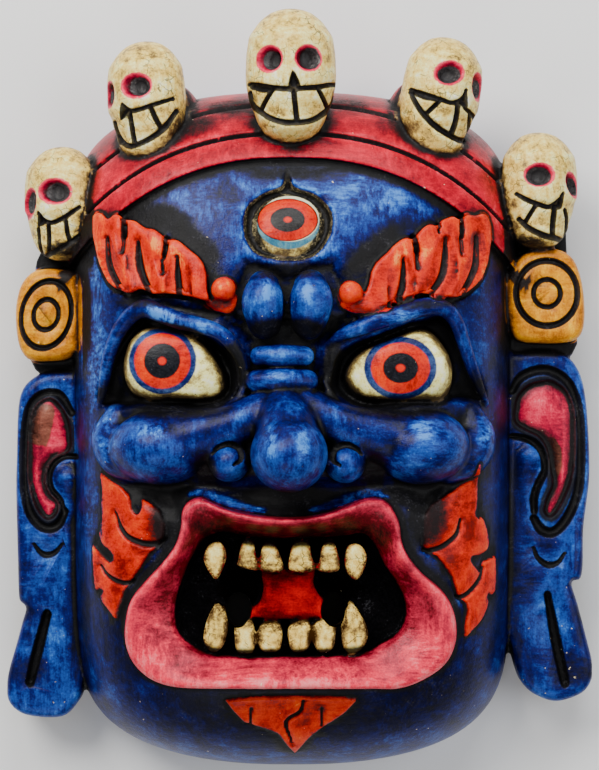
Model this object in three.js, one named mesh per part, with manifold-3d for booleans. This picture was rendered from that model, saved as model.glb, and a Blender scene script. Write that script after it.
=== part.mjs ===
// A wrathful protector's dance mask, carved from one block of wood and hollowed from behind.
// Millimetres. +X runs to the viewer's right, +Y to the crown, +Z out of the face.
// The origin is the middle of the flat back rim, on which the mask lies.
import * as THREE from "three";
import { ParametricGeometry } from "three/addons/geometries/ParametricGeometry.js";
import { mergeVertices } from "three/addons/utils/BufferGeometryUtils.js";
import Module from "manifold-3d";

const wasm = await Module();
wasm.setup();

// ---- driving dimensions ----
const face = {
  x: -4, // middle of the head, left and right
  y: -23.5, // middle of the head, chin to crown
  halfWidth: 120,
  halfHeight: 181.5,
  depth: 102,
  sides: 8, // how straight the sides stay before they turn in
  ends: 2.2, // how rounded the crown and chin are
  fullness: 2.8, // how full the front is, side to side
  profile: 3.2, // how full the front is, chin to crown
};
const hollow = { side: 18, end: 22, front: 24 }; // wall left at the sides, top and chin, and front
const lift = 3.75; // brings the middle of the whole length to the origin
const midline = -5; // the carver's centre line, a little left of the block's middle
const crown = { edgeY: 120, fall: 0.00092, fallPower: 2.3, raise: 4, lowest: 24 };
const crownStripes = [
  [0, 12],
  [14.5, 29],
  [31.5, 70],
]; // each stripe's lower and upper edge, above the crown's lower edge
const ear = { back: 12, front: 40, round: 5 };
const mouth = { x: -5, y: -105, rim: 122, inner: 101, teeth: 105, floor: 84 };
const lipBow = 210; // the lips curve back from the middle on this radius
const headGrain = { around: 28, rings: 14 }; // facets round and over the blank
const lipGrain = 24; // facets round the lips
const sightHole = { x: [-32, 17], y: -109, width: 13, height: 18 };

// ---- helpers: three.js shapes become solids, which are then joined and cut ----
function solid(geometry) {
  const bare = geometry.clone();
  bare.deleteAttribute("normal");
  bare.deleteAttribute("uv");
  const merged = mergeVertices(bare, 1e-4);
  return new wasm.Manifold(
    new wasm.Mesh({
      numProp: 3,
      vertProperties: new Float32Array(merged.attributes.position.array),
      triVerts: new Uint32Array(merged.index.array),
    }),
  );
}

function join(parts) {
  return parts.reduce((whole, part) => whole.add(part));
}

function placed(geometry, at, turn = [0, 0, 0]) {
  const angles = turn.map(THREE.MathUtils.degToRad);
  const matrix = new THREE.Matrix4().makeRotationFromEuler(new THREE.Euler(...angles, "ZYX"));
  return solid(geometry.applyMatrix4(matrix).translate(...at));
}

function ball(at, radii, turn = [0, 0, 0], around = 8, rings = 5) {
  return placed(new THREE.SphereGeometry(1, around, rings).scale(...radii), at, turn);
}

function block(at, size, turn) {
  return placed(new THREE.BoxGeometry(...size), at, turn);
}

// A closed outline drawn smoothly through a few points.
function loop(points) {
  return new THREE.CatmullRomCurve3(points.map(([x, y]) => new THREE.Vector3(x, y, 0)), true, "centripetal");
}

function outline(points, count) {
  const flat = loop(points).getPoints(count).slice(0, count);
  return new THREE.Shape(flat.map((p) => new THREE.Vector2(p.x, p.y)));
}

function polygon(points) {
  return new THREE.Shape(points.map(([x, y]) => new THREE.Vector2(x, y)));
}

function slab(shape, from, to, round = 0) {
  const geometry = new THREE.ExtrudeGeometry(shape, {
    depth: to - from - 2 * round,
    bevelEnabled: round > 0,
    bevelThickness: round,
    bevelSize: round,
    bevelOffset: -round,
    bevelSegments: 1,
    curveSegments: 10,
  });
  return solid(geometry.translate(0, 0, from + round));
}

function ellipse(x, y, rx, ry, turn = 0, count = 16) {
  const path = new THREE.EllipseCurve(x, y, rx, ry, 0, 2 * Math.PI, false, THREE.MathUtils.degToRad(turn));
  return new THREE.Shape(path.getPoints(count).slice(0, count));
}

function rod(points, radius, sides = 6, steps = 12) {
  const path = new THREE.CatmullRomCurve3(points.map((p) => new THREE.Vector3(...p)));
  const section = ellipse(0, 0, radius, radius, 0, sides);
  return solid(new THREE.ExtrudeGeometry(section, { steps, bevelEnabled: false, extrudePath: path }));
}

// ---- the head: a rounded blank, straight at the sides and full in front ----
function power(value, exponent) {
  return Math.sign(value) * Math.abs(value) ** exponent;
}

function bulge(share, exponent) {
  return Math.max(1 - Math.abs(share) ** exponent, 0) ** (1 / exponent);
}

// Half-width of the head at a share of its half-height.
function widthShare(share) {
  return Math.max(1 - Math.abs(share) ** face.sides, 0) ** (1 / face.ends);
}

function faceDepth(x, y) {
  const along = (y - face.y) / face.halfHeight;
  const across = (x - face.x) / (face.halfWidth * widthShare(along) + 0.001);
  return face.depth * bulge(along, face.profile) * bulge(across, face.fullness);
}

// The head's form, grown or shrunk at its sides, ends and front; its back half is its front half mirrored.
function blank(side, end, front, around, rings) {
  const place = (u, v, target) => {
    const along = -Math.cos(Math.PI * v);
    const turn = -2 * Math.PI * (u % 1);
    target.set(
      face.x + (face.halfWidth + side) * widthShare(along) * power(Math.cos(turn), 2 / face.fullness),
      face.y + (face.halfHeight + end) * along,
      (face.depth + front) * bulge(along, face.profile) * power(Math.sin(turn), 2 / face.fullness),
    );
  };
  return solid(new ParametricGeometry(place, around, rings));
}

// Keeps what lies above a height.
function above(part, z) {
  return part.intersect(block([0, 0, z + 250], [800, 800, 500]));
}

// ---- crown band: three flat stripes that follow the brow ----
function crownEdge(x, offset) {
  const out = Math.abs(x - midline);
  return crown.edgeY - crown.fall * out ** crown.fallPower + offset * (1 + 0.22 * (out / 110) ** 2);
}

function crownBand() {
  const { raise, lowest } = crown;
  const shell = above(blank(raise, raise, raise, headGrain.around, headGrain.rings), lowest);
  const ends = [-124, 122];
  const steps = 10;
  const stripe = ([low, high]) => {
    const edge = (offset, from, to) =>
      Array.from({ length: steps + 1 }, (_, i) => {
        const x = from + ((to - from) * i) / steps;
        return new THREE.Vector2(x, crownEdge(x, offset));
      });
    const points = [...edge(low, ends[0], ends[1]), ...edge(high, ends[1], ends[0])];
    return shell.intersect(slab(new THREE.Shape(points), 0, 140));
  };
  return crownStripes.map(stripe);
}

// ---- a skull, egg-shaped: cranium, jaw, two sockets, a nose notch and a toothy grin ----
const skullProfile = [
  [0, -35], [13, -31], [19.5, -20], [23.5, -3], [23.5, 12], [18, 26], [9, 33], [0, 35],
];

function skull({ at, yaw, roll = 0, size }) {
  const egg = skullProfile.map(([radius, height]) => new THREE.Vector2(radius, height));
  const bone = solid(new THREE.LatheGeometry(egg, 10));
  const sockets = [-10.3, 10.3].map((x) => rod([[x, 7, 16], [x * 1.1, 7, 24]], 6.2, 5, 1));
  const nose = rod([[0, 2, 24.5], [0, -9, 24.5]], 2.9, 3, 1);
  const cheekLine = rod([[-23, -4, 8], [0, -9.5, 24.5], [23, -4, 8]], 1.9, 3, 2);
  const grin = rod([[-21, -12, 9], [0, -25.5, 18.5], [21, -12, 9]], 1.9, 3, 2);
  const gaps = [-1, 0, 1].map((side) =>
    rod([[side * 11, -8, 23 - Math.abs(side) * 4], [side * 15.5, -20, 19.5 - Math.abs(side) * 5]], 1.5, 3, 1),
  );
  const carved = bone.subtract(join([...sockets, nose, cheekLine, grin, ...gaps]));
  return placed(geometryOf(carved).scale(size, size, size), at, [0, yaw, roll]);
}

const skulls = [
  { at: [-4.5, 162.5, 84], yaw: 0, size: 1 },
  { at: [-80, 151, 66], yaw: -42, roll: 2, size: 0.92 },
  { at: [73.5, 153, 66], yaw: 44, roll: -9, size: 0.93 },
  { at: [-127, 99, 45], yaw: -32, size: 0.88 },
  { at: [128, 106, 45], yaw: 32, size: 0.9 },
];

// Wood left standing behind each skull, so that it grows out of the head.
function skullRoots() {
  return skulls.map(({ at: [x, y, z], yaw }) => {
    const middle = [x * 0.88, y * 0.92, z - 20];
    return block(middle, [28, 42, 30], [0, yaw, 0]);
  });
}

// ---- brow, eyes and nose ----
const browBeads = [
  [-39.5, 50.5],
  [26.5, 48.5],
];

const eyes = [
  { x: -66, y: 12, width: 28.5, height: 20.5, turn: -14, front: 101 },
  { x: 52, y: 11.5, width: 29.5, height: 20, turn: 12, front: 101 },
];
const upperLids = [
  [[-107, -7, 76], [-102, 24, 86], [-83, 41, 96], [-52, 33, 105], [-34, 22, 106], [-29, 4, 104]],
  [[97, -5, 76], [88, 26, 88], [68, 41, 98], [38, 33, 105], [22, 22, 106], [17, 4, 104]],
];
const lowerLids = [
  [[-104, -8, 76], [-78, -13, 96], [-50, -14, 103], [-31, 0, 102]],
  [[95, -6, 76], [64, -13, 96], [38, -16, 103], [19, 0, 102]],
];
const thirdEye = { x: -5.5, y: 85, front: 102 };

function eyeSockets() {
  return eyes.map((e) =>
    ball([e.x, e.y, e.front - 2], [e.width + 6, e.height + 6, 17], [0, 0, e.turn], 12, 5),
  );
}

function eyeballs() {
  return eyes.map((e) => ball([e.x, e.y, e.front - 16], [e.width, e.height, 19], [0, 0, e.turn], 12, 6));
}

function lids() {
  return [...upperLids, ...lowerLids].map((points, i) => rod(points, i < 2 ? 5.5 : 3.5, 4, 5));
}

function thirdEyeRecess() {
  const rim = outline(
    [[-28, 84], [-22, 68], [-5.5, 66], [11, 68], [17, 84], [9, 100], [-5.5, 113], [-20, 100]],
    22,
  );
  return slab(rim, thirdEye.front - 8, thirdEye.front + 20);
}

function thirdEyeball() {
  return ball([thirdEye.x, thirdEye.y - 2, thirdEye.front - 13], [17, 16, 13], [0, 0, 0], 10, 5);
}

function browAndNose() {
  return [
    ball([-18.7, 46.5, 103], [11.4, 15.5, 16]),
    ball([6.2, 46.5, 103], [12, 15.5, 16]),
    ball([-9, 17, 101], [17, 7, 11]),
    ball([-9, 3.5, 101], [19.5, 7, 12]),
    ball([midline - 1, -16, 102], [21, 19, 19]),
    ball([midline, -33, 117], [20.2, 20.2, 26], [0, 0, 0], 12, 8),
    ball([-37.5, -37, 104], [11, 11.5, 17]),
    ball([24, -37.5, 104], [11, 11.5, 17]),
    rod([[-26, -44, 112], [-34, -47, 112], [-45, -43, 108]], 4.5, 4, 3),
    rod([[14, -44, 112], [22, -47, 112], [32, -43, 108]], 4.5, 4, 3),
  ];
}

function cheeks() {
  return [
    ball([-72, -31, 91], [25.5, 20, 25.5], [0, 0, -4], 10, 7),
    ball([63, -30.5, 91], [25.5, 20, 25.5], [0, 0, 4], 10, 7),
    rod([[-16, -10, 108], [-38, -19, 106], [-66, -17, 100], [-94, -22, 86]], 7.5, 5, 4),
    rod([[6, -10, 108], [28, -19, 106], [56, -16, 100], [86, -20, 86]], 7.5, 5, 4),
  ];
}

// ---- mouth: a flared lip, two rows of teeth, and a tongue between two sight holes ----
const lipPairs = [
  [[-51.5, -56], [-45, -77]],
  [[-61.5, -72], [-51, -84]],
  [[-75, -94.5], [-60, -103]],
  [[-88, -118], [-64, -119]],
  [[-82.5, -140], [-60, -129]],
  [[-67, -150], [-50, -135]],
  [[-30, -152.7], [-27, -136.5]],
  [[35.6, -152.6], [20, -136.5]],
  [[59, -150], [40, -135]],
  [[74, -140.5], [51, -127]],
  [[79.5, -124], [55.5, -116]],
  [[72.5, -100.5], [52, -101]],
  [[56, -80], [42, -85]],
  [[49, -62], [36, -77]],
  [[38, -55.5], [23, -75.4]],
  [[10, -63.8], [4, -76.2]],
  [[-18, -65], [-14, -76]],
  [[-41, -57.5], [-33, -74.6]],
]; // the lips' outer edge and, level with it, their inner edge

// How far the lips have curved back at a place.
function lipFall(x, y) {
  return ((x - mouth.x) ** 2 + (y - mouth.y) ** 2) / (2 * lipBow);
}

// The lips: one closed ring, from its outer foot over the flared rim and down inside the mouth.
function lips() {
  const outer = loop(lipPairs.map((pair) => pair[0]));
  const inner = loop(lipPairs.map((pair) => pair[1]));
  const { rim, inner: edge, floor } = mouth;
  const section = [
    { inward: 0.03, z: floor - 24, falls: 0 },
    { inward: 0, z: rim - 4, falls: 1 },
    { inward: 0.1, z: rim, falls: 1 },
    { inward: 0.3, z: rim - 2, falls: 1 },
    { inward: 1, z: edge, falls: 0.5 },
    { inward: 1.04, z: floor - 6, falls: 0 },
  ];
  const place = (u, v, target) => {
    const { inward, z, falls } = section[Math.round(v * section.length) % section.length];
    target.lerpVectors(outer.getPoint(u % 1), inner.getPoint(u % 1), inward);
    target.z = z - falls * lipFall(target.x, target.y);
  };
  return solid(new ParametricGeometry(place, lipGrain, section.length));
}

// The hole in the face behind the lips.
function throat() {
  return slab(outline(lipPairs.map((pair) => pair[1]), 18), mouth.floor, mouth.rim + 10);
}

function sightHoles() {
  const { x, y, width, height } = sightHole;
  return x.map((middle) => block([middle, y, 75], [width, height, 70]));
}

function tooth(x, y, width, height, pointed) {
  const z = mouth.teeth - 9;
  const crownOfTooth = ball([x, y, z + 2], [width / 2, height / 2, 11], [0, 0, 0], 6, 5);
  const flat = block([x, y, z], [width, height, 20]);
  return pointed ? crownOfTooth : flat;
}

function teeth() {
  const upper = [[-27, 9.5], [-14.5, 11], [0.8, 12], [15, 11]].map(([x, width]) => tooth(x, -86, width, 16));
  const lower = [[-27.5, 10.5], [-14.5, 11], [-0.5, 11.5], [12.5, 11.5]].map(([x, width]) =>
    tooth(x, -127, width, 16),
  );
  const fangs = [[-42.5, -89, 24], [29, -88, 21], [-42.5, -123.5, 26], [29, -123.5, 26]].map(([x, y, tall]) =>
    tooth(x, y, 13, tall, true),
  );
  return [...upper, ...lower, ...fangs];
}

function gums() {
  return [block([-6, -82, 85], [84, 10, 18]), block([-7, -131, 86], [90, 18, 20])];
}

function tongue() {
  const shape = new THREE.Shape();
  shape.moveTo(-25, -124);
  shape.quadraticCurveTo(-21, -108, -17, -84);
  shape.lineTo(3, -84);
  shape.quadraticCurveTo(6, -108, 10, -124);
  shape.closePath();
  return slab(shape, 76, 93);
}

// ---- raised patches that follow the face: flaming brows, and flames on the cheeks and chin ----
const patches = [
  {
    raise: 11,
    edge: [
      [-107, 90.5], [-96, 91], [-90, 87], [-81, 86], [-76, 82.5], [-69, 77.5], [-57, 72.5],
      [-49.5, 63], [-45.5, 43], [-76, 47.5], [-96, 52.5], [-105.5, 69],
    ],
    cuts: [
      [[-101, 84], [-98, 68], [-90, 50]],
      [[-85, 85], [-82, 64], [-77, 48]],
      [[-67, 76], [-65, 60], [-63, 46]],
    ],
  },
  {
    raise: 11,
    edge: [
      [98, 91], [87, 89.5], [79.5, 89], [71, 84], [62, 82], [54, 77.5], [41, 65], [33.5, 50.5],
      [21, 42], [62, 46.5], [87, 49.5], [98, 66],
    ],
    cuts: [
      [[92, 85], [89, 68], [82, 49]],
      [[76, 86], [72, 66], [68, 47]],
      [[57, 76], [54, 62], [51, 44]],
    ],
  },
  {
    raise: 3,
    edge: [
      [-105, -46], [-84, -56], [-67, -57], [-70, -81], [-89, -102], [-96.5, -121], [-107, -106],
      [-109, -85], [-103, -67],
    ],
    cuts: [
      [[-99, -62], [-92, -73], [-78, -78]],
      [[-105, -82], [-98, -92], [-84, -99]],
    ],
  },
  {
    raise: 3,
    edge: [
      [94, -43], [72, -56], [61, -60], [62, -81], [81, -102], [88, -131], [102, -106], [103, -86],
      [97, -61],
    ],
    cuts: [
      [[88, -62], [80, -73], [66, -79]],
      [[98, -84], [90, -93], [80, -99]],
    ],
  },
  {
    raise: 3,
    edge: [[-40, -160], [-24, -176], [-5, -189], [14, -176], [31, -160], [-5, -156]],
    cuts: [[[0, -158], [-4, -172], [-5, -186]]],
  },
];

function raisedPatch({ raise, edge, cuts }) {
  const skin = blank(raise, raise, raise, headGrain.around, headGrain.rings);
  const grooves = cuts.map((points) =>
    rod(points.map(([x, y]) => [x, y, faceDepth(x, y) + raise]), 2.2, 3, 2),
  );
  return skin.intersect(slab(polygon(edge), 40, 140)).subtract(join(grooves));
}

// ---- ears with long lobes, and the round plugs above them ----
const ears = [
  {
    side: -1,
    rim: [
      [-104, 10], [-128, 10.5], [-144, 5], [-151, -10], [-152.5, -49], [-151.5, -92], [-151, -112],
      [-148, -119], [-153, -136], [-158.3, -160], [-153, -173], [-137, -177.5], [-124, -173],
      [-117, -160], [-114, -130], [-104, -100],
    ],
    shell: { x: -133, y: -33, rx: 14.5, ry: 38, turn: 3 },
    knob: [-121, -38],
    crease: [[-144, -83], [-134, -89], [-123, -82]],
    slot: [[-136, -124], [-144.5, -157]],
  },
  {
    side: 1,
    rim: [
      [102, 20], [130, 21], [146, 14], [154, -8], [156, -38], [154, -70], [153, -97], [149, -106],
      [152, -121], [157.5, -142], [158.3, -152], [151, -165], [139, -168.5], [128, -165],
      [119, -152], [112, -130], [102, -100],
    ],
    shell: { x: 135, y: -23, rx: 15.5, ry: 41, turn: -4 },
    knob: [124, -37],
    crease: [[127, -81], [137, -91], [147, -83]],
    slot: [[135, -112], [142, -157]],
  },
];

function carvedEar({ rim, shell, knob, crease, slot, side }) {
  const whole = slab(outline(rim, 22), ear.back, ear.front, ear.round);
  const wellRim = ellipse(shell.x, shell.y, shell.rx, shell.ry, shell.turn, 11);
  const well = slab(wellRim, ear.front - 9, ear.front + 9);
  const bowl = ball(
    [shell.x + side * 1.5, shell.y + 2, ear.front - 9],
    [shell.rx - 5, shell.ry - 5, 6.5],
    [0, 0, shell.turn],
    8,
    4,
  );
  const stem = rod([[...knob, ear.front - 8], [knob[0] - side * 4, knob[1] - 32, ear.front - 8]], 8, 6, 1);
  const bead = ball([...knob, ear.front - 4], [8.5, 9, 7], [0, 0, 0], 7, 4);
  const cuts = [
    rod(crease.map(([x, y]) => [x, y, ear.front + 0.5]), 2.4, 3, 2),
    rod(slot.map(([x, y]) => [x, y, ear.front + 0.5]), 3.6, 4, 1),
  ];
  return join([whole.subtract(well), bowl, stem, bead]).subtract(join(cuts));
}

const plugs = [
  { x: -133, y: 40, width: 33, height: 48, turn: -12 },
  { x: 132.5, y: 50, width: 37, height: 50, turn: 4 },
];

// A rounded square plug face with two ring grooves round a middle button.
function earPlug({ x, y, width, height, turn }) {
  const [w, h, c] = [width / 2 + 2, height / 2, 11];
  const square = outline(
    [[x - w, y - h + c], [x - w, y + h - c], [x - w + c, y + h], [x + w - c, y + h],
      [x + w, y + h - c], [x + w, y - h + c], [x + w - c, y - h], [x - w + c, y - h]],
    16,
  );
  const front = 50;
  const dome = slab(square, ear.back + 4, front, 5);
  const ring = (rx, ry, tube) =>
    placed(
      new THREE.TorusGeometry(1, tube / rx, 3, 9).scale(rx, ry, rx),
      [x, y, front + 0.4],
      [0, 0, turn],
    );
  return dome.subtract(ring(width * 0.42, height * 0.35, 2.3)).subtract(ring(width * 0.19, height * 0.17, 2));
}

// Dark wood left between ear, plug and outer skull on each side.
function sideWebs() {
  return [
    slab(outline([[-146, 12], [-144, 66], [-138, 96], [-108, 96], [-104, 8]], 16), 14, 36, 3),
    slab(outline([[147, 22], [146, 74], [140, 102], [108, 102], [102, 16]], 16), 14, 36, 3),
  ];
}

// ---- the whole carving ----
function carving() {
  const relief = join([
    above(blank(0, 0, 0, headGrain.around, headGrain.rings), 0),
    ...browAndNose(),
    ...cheeks(),
  ]);
  const sunk = relief.subtract(join([...eyeSockets(), thirdEyeRecess()]));
  const dressed = join([
    sunk,
    ...lids(),
    ...eyeballs(),
    thirdEyeball(),
    ...patches.map(raisedPatch),
    ...browBeads.map(([x, y]) => ball([x, y, faceDepth(x, y) + 5], [6.4, 6.4, 8], [0, 0, 0], 8, 5)),
  ]);
  const opened = dressed.subtract(throat()).add(lips());
  const headdress = [...crownBand(), ...skullRoots(), ...skulls.map(skull), ...sideWebs()];
  const sides = [...ears.map(carvedEar), ...plugs.map(earPlug)];
  const inner = blank(-hollow.side, -hollow.end, -hollow.front, 20, 10);
  const outside = join([opened, ...headdress, ...sides]).subtract(inner);
  const bite = join([...gums(), ...teeth(), tongue()]).subtract(inner);
  return above(outside.add(bite).subtract(join(sightHoles())), 0);
}

function geometryOf(part) {
  const mesh = part.getMesh();
  const points = new Float32Array(mesh.numVert * 3);
  for (let i = 0; i < mesh.numVert; i++) {
    points.set(mesh.vertProperties.subarray(i * mesh.numProp, i * mesh.numProp + 3), i * 3);
  }
  const geometry = new THREE.BufferGeometry();
  geometry.setAttribute("position", new THREE.BufferAttribute(points, 3));
  geometry.setIndex(new THREE.BufferAttribute(mesh.triVerts, 1));
  geometry.computeVertexNormals();
  return geometry;
}

const paintedWood = new THREE.MeshStandardMaterial({ color: "#1c3f92", roughness: 0.45, metalness: 0 });
const mask = new THREE.Mesh(geometryOf(carving()), paintedWood);
mask.name = "mask";
mask.position.y = lift;

const group = new THREE.Group();
group.add(mask);

export default group;
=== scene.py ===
import math
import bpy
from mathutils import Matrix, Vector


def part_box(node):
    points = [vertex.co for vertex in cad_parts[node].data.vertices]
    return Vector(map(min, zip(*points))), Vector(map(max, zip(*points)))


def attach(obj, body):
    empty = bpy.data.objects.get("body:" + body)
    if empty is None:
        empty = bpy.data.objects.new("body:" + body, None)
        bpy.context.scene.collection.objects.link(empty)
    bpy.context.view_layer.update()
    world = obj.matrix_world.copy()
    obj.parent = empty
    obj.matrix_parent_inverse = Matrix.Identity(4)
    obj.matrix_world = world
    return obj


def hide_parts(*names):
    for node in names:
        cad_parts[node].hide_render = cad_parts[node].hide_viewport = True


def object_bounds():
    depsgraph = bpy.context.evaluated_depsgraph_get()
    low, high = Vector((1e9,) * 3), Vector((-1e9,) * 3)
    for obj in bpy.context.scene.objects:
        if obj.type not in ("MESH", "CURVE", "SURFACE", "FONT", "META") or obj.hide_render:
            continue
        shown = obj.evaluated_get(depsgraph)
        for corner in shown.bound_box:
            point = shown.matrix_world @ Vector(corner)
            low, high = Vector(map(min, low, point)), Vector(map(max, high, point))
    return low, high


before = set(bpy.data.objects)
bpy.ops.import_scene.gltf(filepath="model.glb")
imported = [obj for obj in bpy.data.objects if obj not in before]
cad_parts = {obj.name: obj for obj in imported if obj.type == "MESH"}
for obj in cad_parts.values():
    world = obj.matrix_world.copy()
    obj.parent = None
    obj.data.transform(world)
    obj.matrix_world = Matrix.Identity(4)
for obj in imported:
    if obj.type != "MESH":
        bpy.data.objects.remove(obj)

from types import SimpleNamespace

import bpy
import numpy as np
from mathutils import Vector
from mathutils.bvhtree import BVHTree

cadLow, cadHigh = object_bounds()
maskLow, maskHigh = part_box("mask")

# The carver works in millimetres from the middle of the back rim; the crown's top is at 197.5.
mm = 0.001
crownTop = 197.5
zero = Vector(((maskLow.x + maskHigh.x) / 2, maskHigh.y - crownTop * mm, maskLow.z))

# Camera, floor and light.
view = {"height": 1.3, "aside": 0.0, "up": 0.002, "lens": 109.4}


def makeCamera():
    data = bpy.data.cameras.new("camera")
    data.lens = view["lens"]
    data.sensor_width = 36
    data.clip_end = 20
    camera = bpy.data.objects.new("camera", data)
    camera.location = (zero.x + view["aside"], zero.y + view["up"], zero.z + view["height"])
    bpy.context.scene.collection.objects.link(camera)
    bpy.context.scene.camera = camera


# Each light: name, place, size, watts, colour.
studio = [
    ("windowLight", (-0.75, 0.95, 1.35), 0.9, 30, (1.0, 0.98, 0.95)),
    ("topLight", (0.15, 1.1, 1.0), 0.8, 12, (0.95, 0.97, 1.0)),
    ("fillLight", (1.0, 0.1, 1.2), 1.2, 9, (0.96, 0.97, 1.0)),
    ("lowLight", (-0.3, -1.1, 1.2), 1.0, 5, (1.0, 1.0, 1.0)),
]


room = {"glow": 0.22, "floorSize": 6, "floorDrop": 0.0006}


def makeLights():
    for name, place, size, watts, colour in studio:
        data = bpy.data.lights.new(name, 'AREA')
        data.shape = 'DISK'
        data.size = size
        data.energy = watts
        data.color = colour
        lamp = bpy.data.objects.new(name, data)
        lamp.location = place
        lamp.rotation_euler = (-Vector(place)).to_track_quat('-Z', 'Y').to_euler()
        bpy.context.scene.collection.objects.link(lamp)
    world = bpy.data.worlds.new("softRoom")
    world.use_nodes = True
    world.node_tree.nodes["Background"].inputs["Color"].default_value = (1, 1, 1, 1)
    world.node_tree.nodes["Background"].inputs["Strength"].default_value = room["glow"]
    bpy.context.scene.world = world


def makeFloor():
    bpy.ops.mesh.primitive_plane_add(size=room["floorSize"], location=(0, 0, cadLow.z - room["floorDrop"]))
    floor = bpy.context.object
    floor.name = "floor"
    paper = bpy.data.materials.new("palePaper")
    paper.use_nodes = True
    shader = paper.node_tree.nodes["Principled BSDF"]
    shader.inputs["Base Color"].default_value = (0.93, 0.93, 0.92, 1)
    shader.inputs["Roughness"].default_value = 0.9
    floor.data.materials.append(paper)


makeCamera()
makeLights()
makeFloor()
print("studio ready")


# Small helpers.
def only(piece):
    bpy.ops.object.select_all(action='DESELECT')
    piece.select_set(True)
    bpy.context.view_layer.objects.active = piece
    return piece


def pointsOf(piece):
    points = np.empty(len(piece.data.vertices) * 3)
    piece.data.vertices.foreach_get("co", points)
    return points.reshape(-1, 3)


def setPoints(piece, points):
    piece.data.vertices.foreach_set("co", np.ascontiguousarray(points, dtype=np.float32).ravel())
    piece.data.update()


def normalsOf(piece):
    normals = np.empty(len(piece.data.vertices) * 3)
    piece.data.vertex_normals.foreach_get("vector", normals)
    return normals.reshape(-1, 3)


def volumeOf(piece):
    piece.data.calc_loop_triangles()
    corners = np.empty(len(piece.data.loop_triangles) * 3, dtype=np.int32)
    piece.data.loop_triangles.foreach_get("vertices", corners)
    a, b, c = pointsOf(piece)[corners.reshape(-1, 3)].transpose(1, 0, 2)
    return np.sum(a * np.cross(b, c)) / 6


def applied(piece, kind, **settings):
    only(piece)
    modifier = piece.modifiers.new(kind.lower(), kind)
    for key, value in settings.items():
        setattr(modifier, key, value)
    bpy.ops.object.modifier_apply(modifier=modifier.name)
    return piece


def remeshed(piece, grain):
    return applied(piece, "REMESH", mode="VOXEL", voxel_size=grain, adaptivity=0, use_smooth_shade=True)


def combined(piece, tool, operation):
    applied(piece, 'BOOLEAN', operation=operation, solver='MANIFOLD', object=tool)
    bpy.data.objects.remove(tool)
    return piece


# Unites the parts two by two, so that each union stays small.
def united(parts):
    while len(parts) > 1:
        pairs = [parts[i:i + 2] for i in range(0, len(parts), 2)]
        parts = [combined(*pair, 'UNION') if len(pair) == 2 else pair[0] for pair in pairs]
    return parts[0]


def smoothstep(low, high, value):
    share = np.clip((value - low) / (high - low), 0, 1)
    return share * share * (3 - 2 * share)


# A smooth path through a few points.
def drawn(points, closed=False, steps=6):
    p = np.array(points, float)
    if closed:
        p = np.vstack([p[-1:], p, p[:2]])
    else:
        p = np.vstack([2 * p[:1] - p[1:2], p, 2 * p[-1:] - p[-2:-1]])
    t = np.linspace(0, 1, steps, endpoint=False)[:, None]
    path = []
    for a, b, c, d in zip(p[:-3], p[1:-2], p[2:-1], p[3:]):
        curve = 2 * b + (c - a) * t + (2 * a - 5 * b + 4 * c - d) * t ** 2 + (3 * b - a - 3 * c + d) * t ** 3
        path.append(curve / 2)
    path = np.vstack(path)
    return path if closed else np.vstack([path, p[-2:-1]])


# Distance in plan from a path, up to a reach.
def pathDistance(x, y, path, closed=False, reach=12.0):
    path = np.array(path, float)[:, :2]
    distance = np.full(x.shape, reach)
    near = (x > path[:, 0].min() - reach) & (x < path[:, 0].max() + reach)
    near &= (y > path[:, 1].min() - reach) & (y < path[:, 1].max() + reach)
    px, py = x[near], y[near]
    best = np.full(px.shape, reach)
    starts, ends = (path, np.roll(path, -1, 0)) if closed else (path[:-1], path[1:])
    for (ax, ay), (bx, by) in zip(starts, ends):
        dx, dy = bx - ax, by - ay
        share = np.clip(((px - ax) * dx + (py - ay) * dy) / (dx * dx + dy * dy + 1e-9), 0, 1)
        best = np.minimum(best, np.hypot(px - ax - share * dx, py - ay - share * dy))
    distance[near] = best
    return distance


# Distance in plan from an outline: below zero inside it.
def edgeDistance(x, y, outline, reach=12.0):
    outline = np.array(outline, float)[:, :2]
    inside = np.zeros(x.shape, bool)
    low, high = outline.min(0), outline.max(0)
    near = (x > low[0] - 1) & (x < high[0] + 1) & (y > low[1] - 1) & (y < high[1] + 1)
    px, py, hit = x[near], y[near], inside[near]
    for (ax, ay), (bx, by) in zip(outline, np.roll(outline, -1, 0)):
        if ay != by:
            hit ^= ((ay > py) != (by > py)) & (px < (bx - ax) * (py - ay) / (by - ay) + ax)
    inside[near] = hit
    distance = pathDistance(x, y, outline, True, reach)
    distance[inside] = -pathDistance(x[inside], y[inside], outline, True, 60.0)
    return distance


# Rounded solids that the block is roughed out with.
def ball(at, radii, turn=(0, 0, 0), around=40, rings=24):
    bpy.ops.mesh.primitive_uv_sphere_add(segments=around, ring_count=rings, radius=1, location=at)
    piece = bpy.context.object
    piece.rotation_euler = [math.radians(angle) for angle in turn]
    piece.scale = radii
    only(piece)
    bpy.ops.object.transform_apply(location=True, rotation=True, scale=True)
    return piece


def block(at, size):
    bpy.ops.mesh.primitive_cube_add(size=1, location=at)
    piece = bpy.context.object
    piece.scale = size
    only(piece)
    bpy.ops.object.transform_apply(location=True, rotation=True, scale=True)
    return piece


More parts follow.
